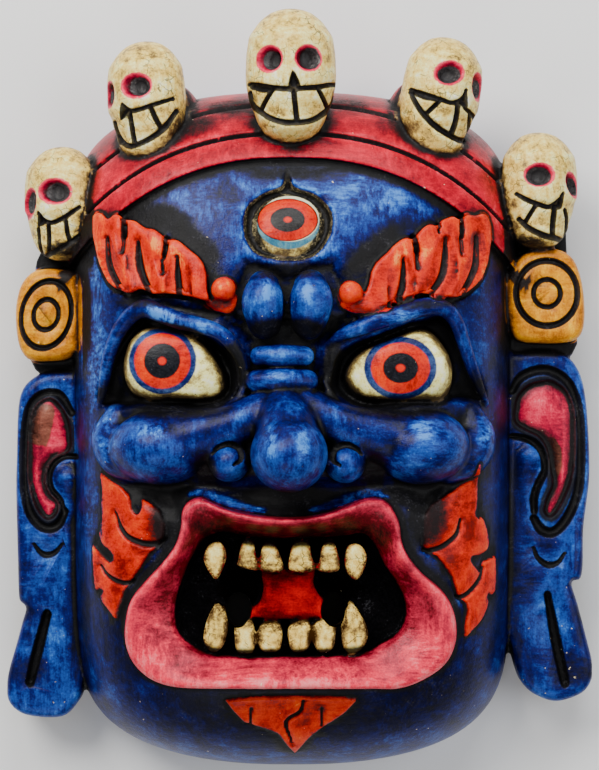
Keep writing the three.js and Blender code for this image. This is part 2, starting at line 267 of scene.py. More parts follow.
# A rounded strip of wood along a path of (x, y, z, radius), its ends rounded off.
def ridge(points):
    path = drawn(points, False, 5)
    spine, radius = path[:, :3], np.maximum(path[:, 3], 0.4)
    along = np.gradient(spine, axis=0)
    along /= np.linalg.norm(along, axis=1)[:, None] + 1e-9
    side = np.cross(along, (0.0, 0.0, 1.0))
    side /= np.linalg.norm(side, axis=1)[:, None] + 1e-9
    up = np.cross(side, along)
    around = 14
    bends = np.linspace(0, 2 * math.pi, around, endpoint=False)[:, None]
    caps = np.linspace(math.pi / 2, 0.25, 4)[1:]

    def ring(at, middle, size):
        return middle + size * (np.cos(bends) * side[at] + np.sin(bends) * up[at])

    def cap(at, way):
        out = way * along[at] * radius[at]
        return [ring(at, spine[at] + out * math.sin(a), radius[at] * math.cos(a)) for a in caps]

    rings = cap(0, -1) + [ring(i, spine[i], radius[i]) for i in range(len(spine))] + cap(-1, 1)[::-1]
    return lofted(rings)


# A closed skin over rings of points, each ring the same count, with its ends closed.
def lofted(rings, closedRound=False):
    count = len(rings[0])
    points = np.vstack(rings)
    faces = []
    pairs = len(rings) if closedRound else len(rings) - 1
    for level in range(pairs):
        low, high = level * count, (level + 1) % len(rings) * count
        for i in range(count):
            j = (i + 1) % count
            faces.append((low + i, low + j, high + j, high + i))
    if not closedRound:
        faces.append(tuple(range(count))[::-1])
        faces.append(tuple(range(len(points) - count, len(points))))
    mesh = bpy.data.meshes.new("skin")
    mesh.from_pydata(points.tolist(), [], faces)
    piece = bpy.data.objects.new("skin", mesh)
    bpy.context.scene.collection.objects.link(piece)
    only(piece)
    bpy.ops.object.mode_set(mode='EDIT')
    bpy.ops.mesh.select_all(action='SELECT')
    bpy.ops.mesh.normals_make_consistent(inside=False)
    bpy.ops.object.mode_set(mode='OBJECT')
    if volumeOf(piece) < 0:
        piece.data.flip_normals()
    return piece


# A board cut to an outline, its front and back edges rounded.
def board(outline, back, front, soft=0.0):
    outline = np.array(outline, float)[:, :2]
    along = np.roll(outline, -1, 0) - np.roll(outline, 1, 0)
    inward = np.column_stack([-along[:, 1], along[:, 0]]) / (np.linalg.norm(along, axis=1)[:, None] + 1e-9)
    area = np.sum(outline[:, 0] * np.roll(outline[:, 1], -1) - np.roll(outline[:, 0], -1) * outline[:, 1])
    inward *= np.sign(area)
    levels = [(0, back), (0, front)]
    if soft:
        bends = np.linspace(0, math.pi / 2, 5)
        levels = [(soft * (1 - math.sin(a)), back + soft * (1 - math.cos(a))) for a in bends]
        levels += [(soft * (1 - math.cos(a)), front - soft * (1 - math.sin(a))) for a in bends]
    rings = [np.column_stack([outline + inward * inset, np.full(len(outline), z)]) for inset, z in levels]
    return lofted(rings)


def cutBoard(edge, form):
    return board(drawn(edge, True, 4), form["back"], form["front"], form["soft"])


# The head: a rounded blank, straight at the sides and full in front.
head = {
    "x": -4.0, "y": -23.5, "halfWidth": 120.0, "halfHeight": 181.5, "depth": 102.0,
    "sides": 8.0, "ends": 2.2, "fullness": 2.8, "profile": 3.2, "midline": -5.0,
    "wall": {"side": 18, "end": 22, "front": 24},
}


def bulge(share, exponent):
    return np.clip(1 - np.abs(share) ** exponent, 0, None) ** (1 / exponent)


def widthShare(along):
    return np.clip(1 - np.abs(along) ** head["sides"], 0, None) ** (1 / head["ends"])


def headBlank(side, end, front, around=120, rings=90):
    bpy.ops.mesh.primitive_uv_sphere_add(segments=around, ring_count=rings, radius=1)
    piece = bpy.context.object
    p = pointsOf(piece)
    along = np.clip(p[:, 2], -1, 1)
    turn = np.arctan2(-p[:, 1], p[:, 0])

    def power(value):
        return np.sign(value) * np.abs(value) ** (2 / head["fullness"])

    x = head["x"] + (head["halfWidth"] + side) * widthShare(along) * power(np.cos(turn))
    y = head["y"] + (head["halfHeight"] + end) * along
    z = (head["depth"] + front) * bulge(along, head["profile"]) * power(np.sin(turn))
    setPoints(piece, np.column_stack([x, y, z]))
    return piece


# Eyes: sockets, whites and the rings painted on them.
eyes = [
    {
        "socket": [(-106, -7), (-104, 6), (-99, 20), (-91, 32), (-82, 37), (-73, 34), (-61, 29.5),
                   (-50, 27.5), (-41, 24),
                   (-35, 17), (-32, 8), (-33, -1), (-39, -7.5), (-50, -10), (-64, -9), (-77, -8),
                   (-92, -10.5)],
        "white": [(-92, 12.3), (-90.5, 20), (-87.1, 27), (-80, 32.4), (-71.7, 32.2), (-56.2, 28.7),
                  (-48.5, 24.1), (-41.9, 14.8),
                  (-37.2, 4.6), (-37.6, -3.1), (-42.5, -7), (-51.1, -7.4), (-66.5, -6.2), (-76.8, -6.5),
                  (-86.6, -2.6),
                  (-91, 4.4)],
        "iris": (-70.1, 14.3), "ring": (17.4, 17.0), "orange": 0.835, "pupil": 0.53, "dot": 0.115,
        "ball": (-65, 12, 106.5), "radii": (31, 25, 15), "turn": -12,
    },
    {
        "socket": [(98, -4), (94, 8), (87, 24), (81, 34), (73, 38.5), (62, 36), (50, 32), (38, 27.5),
                   (27, 24), (20, 18),
                   (16.5, 8), (17, -1), (24, -8), (34, -11), (45, -9.5), (58, -7.5), (74, -7), (88, -7)],
        "white": [(22.9, 7.1), (27, 15.5), (33.6, 21.5), (43.9, 26.1), (51.6, 29.2), (59.3, 31.8),
                  (68.1, 29.9), (76, 21),
                  (79.6, 12.3), (79.9, 4.6), (77.3, -3.1), (72.2, -7.0), (64.5, -6.6), (51.6, -7),
                  (38.8, -7.3),
                  (31.5, -5.7), (26, -0.6)],
        "iris": (51.6, 10.7), "ring": (18.6, 16.1), "orange": 0.81, "pupil": 0.48, "dot": 0.12,
        "ball": (52, 11.5, 106), "radii": (31, 24, 14.5), "turn": 10,
    },
]
upperLids = [
    [(-106, -10, 70, 1.5), (-103.2, -3.1, 76, 2.4), (-100.4, 11, 83, 3.4), (-95.2, 26, 89, 4),
     (-87.8, 37, 94, 4.4),
     (-79.5, 41.5, 99, 4.8), (-71, 38.6, 102, 4.8), (-61, 34.6, 104, 4.4), (-50.9, 32.4, 105, 4.2),
     (-40.7, 28.6, 106, 4),
     (-33.2, 20.9, 106, 3.6), (-29.2, 12.2, 104, 2.8), (-28.5, 3, 101, 2)],
    [(14, 22, 98, 1.5), (21, 27.5, 102, 3), (31, 31.4, 105, 4.2), (41.2, 35.3, 105, 4.8), (51.5, 38, 104, 5),
     (60, 41, 102, 5), (69.4, 42.2, 99, 4.6), (76.5, 40, 95, 4.2), (81.6, 33, 92, 3.8), (85, 24, 88, 3.6),
     (90.4, 9.7, 82, 3.2),
     (96, -3.1, 76, 2), (99, -8, 72, 1)],
]
lowerLids = [
    [(-84, -10.8, 89, 0.8), (-77, -11.6, 93, 1.6), (-70, -12.2, 97, 1.8), (-60, -12.4, 100, 1.8),
     (-49, -13.4, 102, 1.8),
     (-40, -11.4, 103, 2), (-31, -4, 102, 2), (-28, 4, 100, 1.8)],
    [(13, 4, 99, 1.5), (17, -4.5, 102, 2.2), (25, -11.5, 103, 2.2), (35, -14.4, 102, 1.8),
     (46, -12.4, 101, 1.8),
     (57, -10.4, 98, 1.8), (68, -9.8, 93, 1.6), (76, -9.4, 89, 0.8)],
]
thirdEye = {
    "recess": [(-6.7, 112.5), (-9.4, 105), (-19.2, 100.8), (-26.9, 94.2), (-28.9, 85.5), (-27.4, 76.2),
               (-21.2, 68.8), (-7.4, 66),
               (6.4, 67.7), (14.6, 76.2), (17.2, 85.5), (15.6, 93), (8.5, 100.3), (-2.6, 104.6)],
    "eye": (-6.0, 83.8), "radii": (17.8, 16.8),
    "iris": (-6.1, 87.2), "ring": (15.2, 10.9), "pupil": 0.59, "dot": 0.13,
}
mouth = {
    "x": -5.0, "y": -105.0, "rim": 121.0, "inner": 101.5, "floor": 84.0, "bow": 420.0,
    "centre": (-5.0, -108.0),
    "outer": [(-58.7, -60), (-56.2, -57.5), (-52.6, -55.9), (-49, -56.4), (-44.4, -58.4), (-35.2, -61.8),
              (-20, -64.7),
              (-4.8, -65.7), (10.4, -64.2), (23, -60.3), (33.2, -56.8), (40.9, -56.4), (45, -58.5),
              (48, -62.5), (51, -69.1),
              (52.5, -79.2), (56.6, -87.3), (63.8, -95.6), (71.6, -102.4), (76.8, -109.2), (80, -118.1),
              (80.5, -128.4),
              (77.5, -137.6), (71.8, -144.1), (61.5, -150), (50.1, -153.2), (35.8, -152.8), (0.3, -152.2),
              (-35.2, -152.5),
              (-60.8, -152.7), (-73.7, -150.1), (-82, -144.7), (-87.2, -137.6), (-89.7, -128.4),
              (-89.1, -118),
              (-86.5, -108.7), (-80.7, -100.9), (-70.9, -90), (-63.7, -80.2), (-60.7, -70.6), (-60.2, -63.6)],
    "innerEdge": [(-52.7, -82.3), (-49.1, -77.1), (-43.9, -74.5), (-37.7, -73.5), (-20.3, -76.5),
                  (0.3, -76.5),
                  (20.8, -75.5), (31.1, -74), (35.7, -76.1), (40.3, -82.8), (43.9, -90.5), (49.1, -98.2),
                  (53.2, -106),
                  (54.8, -113.7), (53.2, -121.4), (49.1, -127), (41.4, -131.6), (34.2, -135.1),
                  (20.8, -136.6), (0.3, -137),
                  (-33.1, -137.1), (-48.6, -135.2), (-57.3, -130.6), (-62, -125.5), (-64, -117.8),
                  (-63.5, -108.5),
                  (-60.4, -98.2), (-56.8, -89.5)],
    "holes": [(-31.5, -115), (17.5, -114.5)], "holeRadii": (7.2, 9.5),
}


# How far each spoke from the mouth's centre reaches to an outline.
def reachOf(outline, angles):
    cx, cy = mouth["centre"]
    path = drawn(outline, True, 5) - (cx, cy)
    bearing = np.arctan2(path[:, 1], path[:, 0])
    length = np.hypot(path[:, 0], path[:, 1])
    order = np.argsort(bearing)
    return np.interp(angles, bearing[order], length[order], period=2 * math.pi)


def lipFall(x, y):
    return ((x - mouth["x"]) ** 2 + (y - mouth["y"]) ** 2) / mouth["bow"]


def makeLips():
    angles = np.linspace(-math.pi, math.pi, 300, endpoint=False)
    outer, inner = reachOf(mouth["outer"], angles), reachOf(mouth["innerEdge"], angles)
    rim, edge, floor = mouth["rim"], mouth["inner"], mouth["floor"]
    # Share of the way inward, height, and how much of the lips' bow it takes.
    section = [
        (-0.10, floor - 22, 0.2), (-0.04, floor - 2, 0.6), (-0.01, rim - 8, 1), (0, rim - 4.5, 1),
        (0.015, rim - 2.2, 1),
        (0.05, rim - 0.6, 1), (0.11, rim, 1), (0.2, rim - 0.4, 1), (0.35, rim - 2.6, 0.98),
        (0.5, rim - 6, 0.93),
        (0.65, rim - 9.6, 0.84), (0.8, rim - 13.4, 0.72), (0.92, rim - 16.8, 0.6),
        (0.98, edge - 0.5, 0.5), (1.0, edge - 3, 0.4),
        (1.0, edge - 8, 0.2), (1.02, floor - 4, 0), (0.4, floor - 14, 0),
    ]
    rings = []
    for inward, z, falls in section:
        length = outer + (inner - outer) * inward
        x = mouth["centre"][0] + length * np.cos(angles)
        y = mouth["centre"][1] + length * np.sin(angles)
        rings.append(np.column_stack([x, y, z - falls * lipFall(x, y)]))
    return lofted(rings, True)


sunk = {"socket": 15, "bowl": 6.5}
# Low ground beside the nose root, under the nose and cheeks, and under the brows: outline, depth, softness.
dips = [
    ([(-34, 36), (-30, 22), (-31, 4), (-36, -8), (20, -8), (15, 4), (14, 22), (22, 36)], 7, 7),
    ([(-88, -50), (-60, -44), (-30, -44), (16, -44), (50, -44), (76, -48), (66, -62), (44, -56), (-4, -66),
      (-52, -56), (-66, -64)], 7, 8),
    ([(-96, 50), (-72, 46), (-46, 43), (-36, 38), (-48, 34), (-74, 42)], 3, 4),
    ([(88, 48), (64, 45), (38, 39), (26, 36), (40, 36), (66, 43)], 3, 4),
    ([(-30, 64), (-18, 66), (-6, 60), (8, 66), (20, 64), (24, 34), (-34, 34)], 4, 4),
]


# Sinks the sockets, the third eye's bowl and the throat into the blank, and swells the eyes in them.
def sinkFace(piece):
    p = pointsOf(piece)
    x, y, z = p.T
    front = z > 25
    for outline, depth, softness in dips:
        d = edgeDistance(x, y, drawn(outline, True), softness + 1)
        z = z - np.where(front, depth * smoothstep(softness * 0.6, -softness, d), 0)
    for eye in eyes:
        d = edgeDistance(x, y, drawn(eye["socket"], True))
        z = z - np.where(front, sunk["socket"] * smoothstep(0.5, -4, d), 0)
        d = edgeDistance(x, y, drawn(eye["white"], True))
        turn = math.radians(eye["turn"])
        cx, cy, top = eye["ball"]
        u = ((x - cx) * math.cos(turn) + (y - cy) * math.sin(turn)) / eye["radii"][0]
        v = (-(x - cx) * math.sin(turn) + (y - cy) * math.cos(turn)) / eye["radii"][1]
        dome = top - eye["radii"][2] * (1 - np.sqrt(np.clip(1 - u * u - v * v, 0, 1)))
        edge = np.sqrt(1 - (1 - np.clip(-d / 5, 0, 1)) ** 2)
        z = np.where(front & (d < 0), np.maximum(z, z + (dome - z) * edge), z)
    d = edgeDistance(x, y, drawn(thirdEye["recess"], True, 4))
    z = z - np.where(front, sunk["bowl"] * smoothstep(0.6, -2.4, d), 0)
    u = (x - thirdEye["eye"][0]) / thirdEye["radii"][0]
    v = (y - thirdEye["eye"][1]) / thirdEye["radii"][1]
    swell = np.sqrt(np.clip(1 - (u * u + v * v), 0, 1))
    z = z + np.where(front, sunk["bowl"] * swell ** 0.8, 0)
    d = edgeDistance(x, y, drawn(mouth["innerEdge"], True))
    opened = smoothstep(0.5, -3.5, d)
    z = np.where(front, z + (np.minimum(mouth["floor"], z) - z) * opened, z)
    setPoints(piece, np.column_stack([x, y, z]))
    return piece


# Brow, nose and cheeks, as balls (place, radii, turn) and ridges (x, y, z, radius).
knobs = [
    [(-18.4, 52.5, 103, 8.4), (-18.6, 47.5, 106.5, 10.7), (-18.4, 41, 106.5, 10.9), (-17.8, 34, 102, 9)],
    [(5.6, 52.5, 103, 8.8), (5.9, 47.5, 106.5, 11), (5.6, 41, 106.5, 11), (4.8, 34, 102, 9)],
]
rolls = [
    [(-20.5, 16.8, 103, 5.2), (-9, 17.2, 106, 5.6), (2.5, 16.8, 103, 5.2)],
    [(-22, 4.2, 103, 5.8), (-9, 4.4, 106.5, 6.3), (4, 4.2, 103, 5.8)],
]
# The swellings of nose and cheeks, which run into each other.
faceBalls = [
    ((-5.3, -33, 118), (19.8, 19.6, 25), (0, 0, 0)),
    ((-36, -37.6, 104), (10.6, 10.4, 13), (0, 0, 0)),
    ((23.4, -38, 104), (10.6, 10.4, 13), (0, 0, 0)),
    ((-72, -30.5, 91), (26, 19.4, 25.5), (0, 0, -3)),
    ((63, -30, 91), (25, 19.6, 26), (0, 0, 4)),
]
faceRidges = [
    [(-9, -5, 99, 12), (-7.5, -15, 107, 14.5), (-6, -25, 115, 17), (-5.5, -34, 119, 18)],
    [(-12, -8, 101, 11), (-26, -15, 103, 11), (-40, -20.5, 102, 12), (-54, -24.5, 99, 15),
     (-68, -28, 95, 17.5)],
    [(0, -8, 101, 11), (14, -15, 103, 11), (29, -20.5, 102, 12), (44, -24.5, 98, 15), (59, -28, 95, 17.5)],
    [(-95, -15, 76, 8), (-97, -25, 77, 12), (-93, -34, 81, 12.5), (-84, -40, 85, 10)],
    [(89, -14, 75, 8), (91, -25, 76, 12), (87, -34, 80, 12.5), (77, -40, 85, 10)],
]
stems = [
    [(-46, 44, 101, 2), (-41, 43, 103, 4), (-36.5, 42, 103, 3.4), (-34, 46, 103, 3)],
    [(44, 43, 102, 3), (36, 42, 104, 4.5), (29, 42, 104, 4.5), (24, 44, 104, 3.5)],
]
# The hook cut into each wing of the nose.
curls = [
    [(-44.5, -33, 0.6), (-41.4, -29.8, 1.1), (-36, -28, 1.3), (-30.6, -30.2, 1.3), (-29.4, -35.6, 1.2),
     (-33, -38.4, 0.7)],
    [(31.8, -33.5, 0.6), (28.8, -30.2, 1.1), (23.4, -28.4, 1.3), (18, -30.6, 1.3), (16.8, -36, 1.2),
     (20.4, -38.8, 0.7)],
]
browBeads = [((-38.8, 50.8, 106), (6.3, 6.3, 6.5)), ((26.2, 48.9, 106), (6.2, 6.2, 6.5))]

# Flaming brows, and flames on the cheeks and chin, each with its notches and grooves.
brows = [
    {
        "edge": [(-109, 84.5), (-108.5, 90.8), (-106.2, 92.2), (-103.9, 92), (-102.1, 90.8),
                 (-100.9, 88.6), (-99.8, 88),
                 (-98.1, 88.9), (-96.5, 91), (-94.3, 90.8), (-91.5, 88.6), (-89.8, 86.4), (-89.3, 87.4),
                 (-87.2, 87.6),
                 (-84.5, 86.7), (-81.8, 84.5), (-78.5, 82.3), (-75.9, 82.8), (-73.3, 81.2), (-70.1, 78.5),
                 (-68, 75.9),
                 (-65.4, 76.9), (-63.3, 76.8), (-60.2, 74.7), (-56, 71), (-51.9, 67.9), (-49.3, 64.3),
                 (-47.7, 59.7),
                 (-47.2, 53), (-46.6, 47.4), (-45.6, 44.8), (-50.7, 45.8), (-55.9, 47.4), (-62.1, 48.5),
                 (-68.8, 49.1),
                 (-75.6, 48.7), (-77.7, 50.2), (-82, 51.9), (-85.7, 49.9), (-88.9, 49.4), (-92.2, 51.1),
                 (-95.5, 52.2),
                 (-99.4, 55.5), (-102.3, 60.8), (-104.6, 66.2), (-106.4, 72.6), (-107.7, 78)],
        "notches": [[(-91.2, 88, 1.7), (-91, 84, 2.0), (-91.4, 79.4, 1.7)],
                    [(-68.6, 77.5, 1.5), (-69, 72, 1.6), (-70, 67.6, 1.2)]],
        "grooves": [[(-100.6, 78, 0.6), (-99.6, 66, 1.3), (-97.2, 59, 1.5), (-92.8, 51.5, 1.3)],
                    [(-83.9, 76, 0.8), (-83.1, 65.3, 2.1), (-81, 58, 2.0), (-76.7, 48.6, 1.5)],
                    [(-62.9, 67, 0.6), (-62.6, 58.2, 1.7), (-61.4, 48.6, 2.2)],
                    [(-71.2, 66.6, 0.8), (-70.5, 59.5, 0.5)], [(-91.6, 79, 0.8), (-92, 71, 0.5)]],
    },
    {
        "edge": [(34.4, 50.4), (35.9, 55.5), (36.5, 59.6), (39, 64.3), (42.7, 67.9), (45.2, 70),
                 (47.8, 73.1), (51.5, 76.2),
                 (54.6, 77.8), (57.2, 76.8), (58.7, 76.4), (59.8, 78.5), (62.9, 82.2), (66.1, 84.8),
                 (68.7, 84.9),
                 (71.4, 82.9), (72.5, 86.6), (76.2, 88.3), (79.4, 89.5), (81.6, 88.5), (83.2, 86.5),
                 (84.9, 89.2),
                 (87.6, 90.9), (90.4, 90), (92.6, 90.2), (95.5, 92), (98.3, 90.6), (100, 86), (100.4, 78),
                 (99.1, 70),
                 (97.9, 64.7), (95, 57.7), (91.1, 53.4), (88.3, 51.2), (84.5, 48.5), (80.1, 47.3),
                 (74.8, 47.2),
                 (70.6, 47.2), (66.9, 48.7), (61.7, 49.1), (56.5, 46.5), (51.3, 44.9), (43.6, 42.8),
                 (35.9, 41.7),
                 (30.8, 40.7), (30, 45)],
        "notches": [[(58.6, 78.5, 1.6), (60, 74, 1.8), (60.8, 70.4, 1.4)],
                    [(83.8, 89, 1.3), (84.6, 83, 1.5), (84.4, 78.6, 1.2)],
                    [(71.8, 85.5, 1.0), (72, 80.5, 0.8)]],
        "grooves": [[(75.8, 77, 0.6), (75.4, 65.3, 1.8), (73.3, 57, 1.9), (67, 48, 1.5)],
                    [(92.6, 79, 0.8), (92.3, 65.9, 1.5), (90, 58.5, 1.5), (84.6, 49, 1.2)],
                    [(53.6, 66, 0.6), (53.4, 57.7, 1.6), (52.9, 52.6, 2.0), (51, 46, 2.2)],
                    [(84.2, 77, 0.8), (85, 70, 0.6)], [(60.8, 70, 0.7), (61, 62, 0.4)]],
    },
]
browRaise = 8.5
flames = [
    {
        "edge": [(-103.9, -44.6), (-98.2, -48), (-92.1, -51.4), (-88.3, -55.5), (-87.2, -60.1),
                 (-86.1, -63.2), (-84, -65.2),
                 (-82.4, -64.1), (-81.3, -61), (-81.3, -57.4), (-77.1, -59.3), (-71.8, -63.4),
                 (-69.2, -70), (-70.2, -76.7),
                 (-73.4, -80.9), (-77.1, -84.6), (-79.2, -87.3), (-82.5, -92.6), (-87.3, -99.1),
                 (-89.5, -102.3),
                 (-91.2, -105.5), (-92.3, -109.8), (-94.6, -116.3), (-95.7, -120), (-99, -116.1),
                 (-102.4, -112.2),
                 (-104.1, -109.1), (-102.3, -106.3), (-104, -104.4), (-106.4, -105.7), (-107.5, -103.7),
                 (-108.1, -95.3),
                 (-108.6, -87.4), (-108, -81.6), (-105.1, -85), (-101.6, -88.4), (-98.8, -90.8),
                 (-96.6, -89.1),
                 (-96.6, -86.5), (-98.8, -84), (-102.2, -81.6), (-103.9, -78.1), (-104.5, -72.9),
                 (-102.7, -68.6),
                 (-103.3, -60.8), (-102.7, -52.9)],
        "notches": [],
        "grooves": [[(-95.2, -64, 0.6), (-92.7, -71.7, 1.4), (-89.4, -76.3, 1.7), (-84.6, -78.7, 1.8),
                     (-79.2, -80.1, 1.9),
                     (-73.4, -79.9, 2.0), (-67.5, -78, 2.2)],
                    [(-103.4, -92.4, 0.7), (-100.6, -96.7, 1.2), (-96.1, -99.6, 1.4),
                     (-91.1, -100.8, 1.4), (-85, -100.4, 1.8)]],
    },
    {
        "edge": [(93.7, -38.7), (92.6, -50.2), (92.6, -58), (91.5, -65.8), (92.6, -67.9), (94.3, -67),
                 (96.6, -69.7), (99, -78.3),
                 (98.4, -84.1), (94.4, -86.4), (89.3, -87.1), (88.8, -89.7), (91.6, -93.5), (94.4, -96.3),
                 (96.1, -90.7),
                 (101.9, -88.1), (103.2, -90.3), (103.3, -105.2), (100.9, -108.6), (98.5, -107.3),
                 (98, -109.9),
                 (99.1, -112.7), (95.8, -120.3), (90.2, -126.1), (86.4, -129.5), (86.3, -123.1),
                 (87.3, -115.3),
                 (86.7, -111.5), (82.3, -107.1), (79, -97.5), (73.1, -88.9), (71, -86.3), (64.6, -81.9),
                 (64.1, -75.2),
                 (64.6, -64.9), (68.3, -59.8), (75.2, -55.9), (83.2, -50.4), (90.4, -45.9)],
        "notches": [],
        "grooves": [[(83, -67.5, 0.6), (81.6, -74.7, 1.4), (77.9, -78.7, 1.6), (73.1, -81.7, 1.6),
                     (67.3, -83.4, 1.8), (60, -83.5, 2)],
                    [(95.8, -93.5, 0.8), (93.9, -99.5, 1.4), (89.4, -104.9, 1.5), (84.5, -108.2, 1.6),
                     (78, -108.8, 2)]],
    },
    {
        "edge": [(-38.1, -161.3), (-23, -159.5), (0.3, -159), (23.6, -159.6), (29.3, -161.2),
                 (23.6, -167.9), (15.9, -173.5),
                 (9.7, -178.1), (4.5, -182.8), (-2.4, -191.7), (-6.6, -186.5), (-11.2, -179.8),
                 (-19.6, -176.3),
                 (-28.4, -173.5), (-34.5, -166.8)],
        "notches": [],
        "grooves": [[(2, -161.5, 0.7), (0.3, -167.5, 1.2), (-7, -173.5, 1.2), (-4, -185, 0.5)],
                    [(-25, -165.5, 0.6), (-25.6, -174, 0.8)], [(11.7, -165.5, 0.6), (11.7, -175, 0.8)]],
    },
]
flameRaise = 1.8


def makeBrows():
    made = []
    for brow in brows:
        skin = headBlank(browRaise, browRaise, browRaise)
        plate = remeshed(combined(skin, board(brow["edge"], 50, 140), 'INTERSECT'), 1.0)
        made.append(applied(plate, 'SMOOTH', factor=0.5, iterations=7))
    return made


# Crown band, cut into three stripes that follow the brow.
crown = {
    "edgeY": 120.0, "fall": 0.00092, "fallPower": 2.3, "raise": 4.0, "lowest": 24.0, "ends": (-124, 122),
    "breadth": 70, "grooves": [(13.3, 1.15), (30.3, 1.2)],
}


def crownEdge(x, offset):
    out = np.abs(x - head["midline"])
    return crown["edgeY"] - crown["fall"] * out ** crown["fallPower"] + offset * (1 + 0.22 * (out / 110) ** 2)


def makeCrown():
    xs = np.linspace(*crown["ends"], 60)
    skin = headBlank(crown["raise"], crown["raise"], crown["raise"])
    outline = np.vstack([
        np.column_stack([xs, crownEdge(xs, 0)]),
        np.column_stack([xs, crownEdge(xs, crown["breadth"])])[::-1],
    ])
    return combined(skin, board(outline, crown["lowest"], 140), 'INTERSECT')


# Ears with long lobes, the round plugs above them, and the dark wood between.
ears = [
    {
        "side": -1,
        "rim": [(-104, 10), (-120, 10), (-133, 9.5), (-142.4, 6.8), (-149.4, 0), (-152.1, -11.5),
                (-152.9, -38.4), (-153.2, -55),
                (-152.3, -92.2), (-151.9, -108), (-151.2, -114.5), (-147.8, -118.1), (-149.8, -126),
                (-153, -138),
                (-156.6, -150.4), (-158.1, -159), (-157.2, -168.7), (-150.5, -175.2), (-139.7, -177.5),
                (-127.9, -177),
                (-120.9, -171), (-117, -162), (-114, -140), (-110, -118), (-104, -100)],
        "groove": [(-123, -13, 1.4), (-128.5, -4.2, 1.7), (-134, -2.6, 1.8), (-139.6, -4, 1.8),
                   (-144.4, -9, 1.8), (-147, -18, 1.8),
                   (-148.3, -34, 1.8), (-148.3, -50, 1.8), (-146.4, -63, 1.8), (-142, -71.5, 1.8),
                   (-136, -75, 1.8),
                   (-130, -73, 1.8), (-126.5, -66, 1.4)],
        "concha": [(-141, -7), (-134.5, -4.6), (-129, -8.6), (-124.8, -15.6), (-123, -25), (-123.4, -33),
                   (-127.8, -36.2),
                   (-132.2, -38), (-135.6, -43.4), (-136.6, -49.8), (-134.4, -56.2), (-130.2, -60.6),
                   (-129.6, -65),
                   (-132.4, -69.4), (-136.6, -70.4), (-141, -66), (-144.6, -58), (-146.8, -47),
                   (-147.2, -34), (-146.6, -23),
                   (-144.6, -13)],
        "worn": [(-141, -8.8), (-132.5, -9.9), (-133, -19.5), (-134.8, -25), (-136.4, -31.4),
                 (-145.4, -28.8), (-147.4, -26),
                 (-146, -17)],
        "knob": [(-125, -48), (-124, -58), (-122, -76)],
        "knobGroove": [(-119.5, -36.5, 1), (-127, -36.6, 1.3), (-132.6, -40.4, 1.4),
                 (-135.2, -47, 1.4), (-134, -54, 1.4), (-129.2, -60, 1.3), (-127.6, -66, 1.2)],
        "crescent": [(-143, -83.6, 0.7), (-139.7, -88, 1.3), (-136, -89.6, 1.6), (-131.7, -88.2, 1.3),
                     (-127.8, -83.6, 0.7)],
        "slot": [(-136, -121.4, 2.3), (-141, -141, 2.7), (-145.2, -158, 2.4)],
    },
    {
        "side": 1,
        "rim": [(102, 20), (116, 19.5), (129.5, 20.8), (142, 19), (149.4, 12.4), (153.9, 0),
                (156.2, -22.2), (156.8, -46.5),
                (155.1, -62), (153.4, -76.1), (153.2, -94.9), (151.6, -102.9), (147, -104.6),
                (150.4, -116.5), (155.3, -135.3),
                (158.3, -148), (158, -156.8), (153.7, -163.6), (145.7, -167.5), (137.6, -168.9),
                (129.5, -166.4),
                (123, -162.2), (118.5, -155), (113, -135), (108, -118), (102, -100)],
        "groove": [(114.6, -1.6, 1.2), (118.7, 5.6, 1.7), (126.8, 9.6, 1.8), (134.9, 9.6, 1.8),
                   (142.9, 5, 1.8), (147.8, -3, 1.8),
                   (150.6, -14, 1.8), (151.4, -35, 1.8), (150.2, -54, 1.8), (145.6, -67, 1.8),
                   (140, -75, 1.8),
                   (134.8, -77.5, 1.8), (129.8, -75.4, 1.8), (126.2, -69.6, 1.4)],
        "concha": [(133.8, 4.7), (124.1, 2.6), (117.6, -3.6), (115.6, -11.6), (116.2, -18.6),
                   (122, -22.6), (128.8, -26.2),
                   (132.8, -32.6), (135, -43.8), (136, -51.6), (132.6, -60), (131.6, -66.4), (135, -69.4),
                   (139.4, -65.6),
                   (144.2, -56), (147.9, -44), (149, -28), (148.4, -11.8), (144.8, -1.8), (139.4, 2.8)],
        "worn": [(133.8, -27.6), (140.3, -29.3), (141.3, -43.8), (136, -48.1)],
        "knob": [(124, -37), (121.5, -48), (120.5, -70)],
        "knobGroove": [(114.4, -25.6, 1.1), (121.4, -26.6, 1.4), (128, -30, 1.5),
                 (131.6, -36, 1.5), (132.2, -44, 1.5), (129, -50.6, 1.5), (126.4, -58, 1.5),
                 (126.4, -66, 1.3)],
        "crescent": [(126, -85.4, 0.7), (128.4, -91.2, 1.2), (133.8, -94.9, 1.6), (139.2, -93.6, 1.2),
                     (142.8, -88.4, 0.7)],
        "slot": [(133.6, -110.8, 1.8), (138, -135, 2.6), (143, -158.4, 2.4)],
    },
]
earBoard = {"back": 12.0, "front": 40.0, "soft": 5.0, "knob": [(35, 8.6), (35, 6.4), (34, 6)]}
plugs = [
    {
        "edge": [(-142, 63.2), (-131, 64.4), (-121, 62.6), (-117.5, 55), (-117, 35), (-117.6, 22),
                 (-124.6, 16), (-139, 14.8),
                 (-146, 16.2), (-150.6, 23.5), (-152.3, 37), (-151.6, 48), (-148.6, 57)],
        "centre": (-135.4, 39.6), "rings": [((13.2, 18.2), 1.15), ((6.6, 8.2), 1.0)], "turn": -14,
    },
    {
        "edge": [(117, 69.8), (125.6, 74.4), (137, 75.2), (145.6, 71), (150.2, 62.4), (152.6, 50.3),
                 (153.0, 37.4), (151, 29),
                 (144.6, 25.1), (129, 24.5), (116.5, 26.6), (111.5, 36.9), (111, 58.3)],
        "centre": (132.2, 51), "rings": [((16.4, 17.4), 1.3), ((7.2, 7.4), 1.0)], "turn": 4,
    },
]
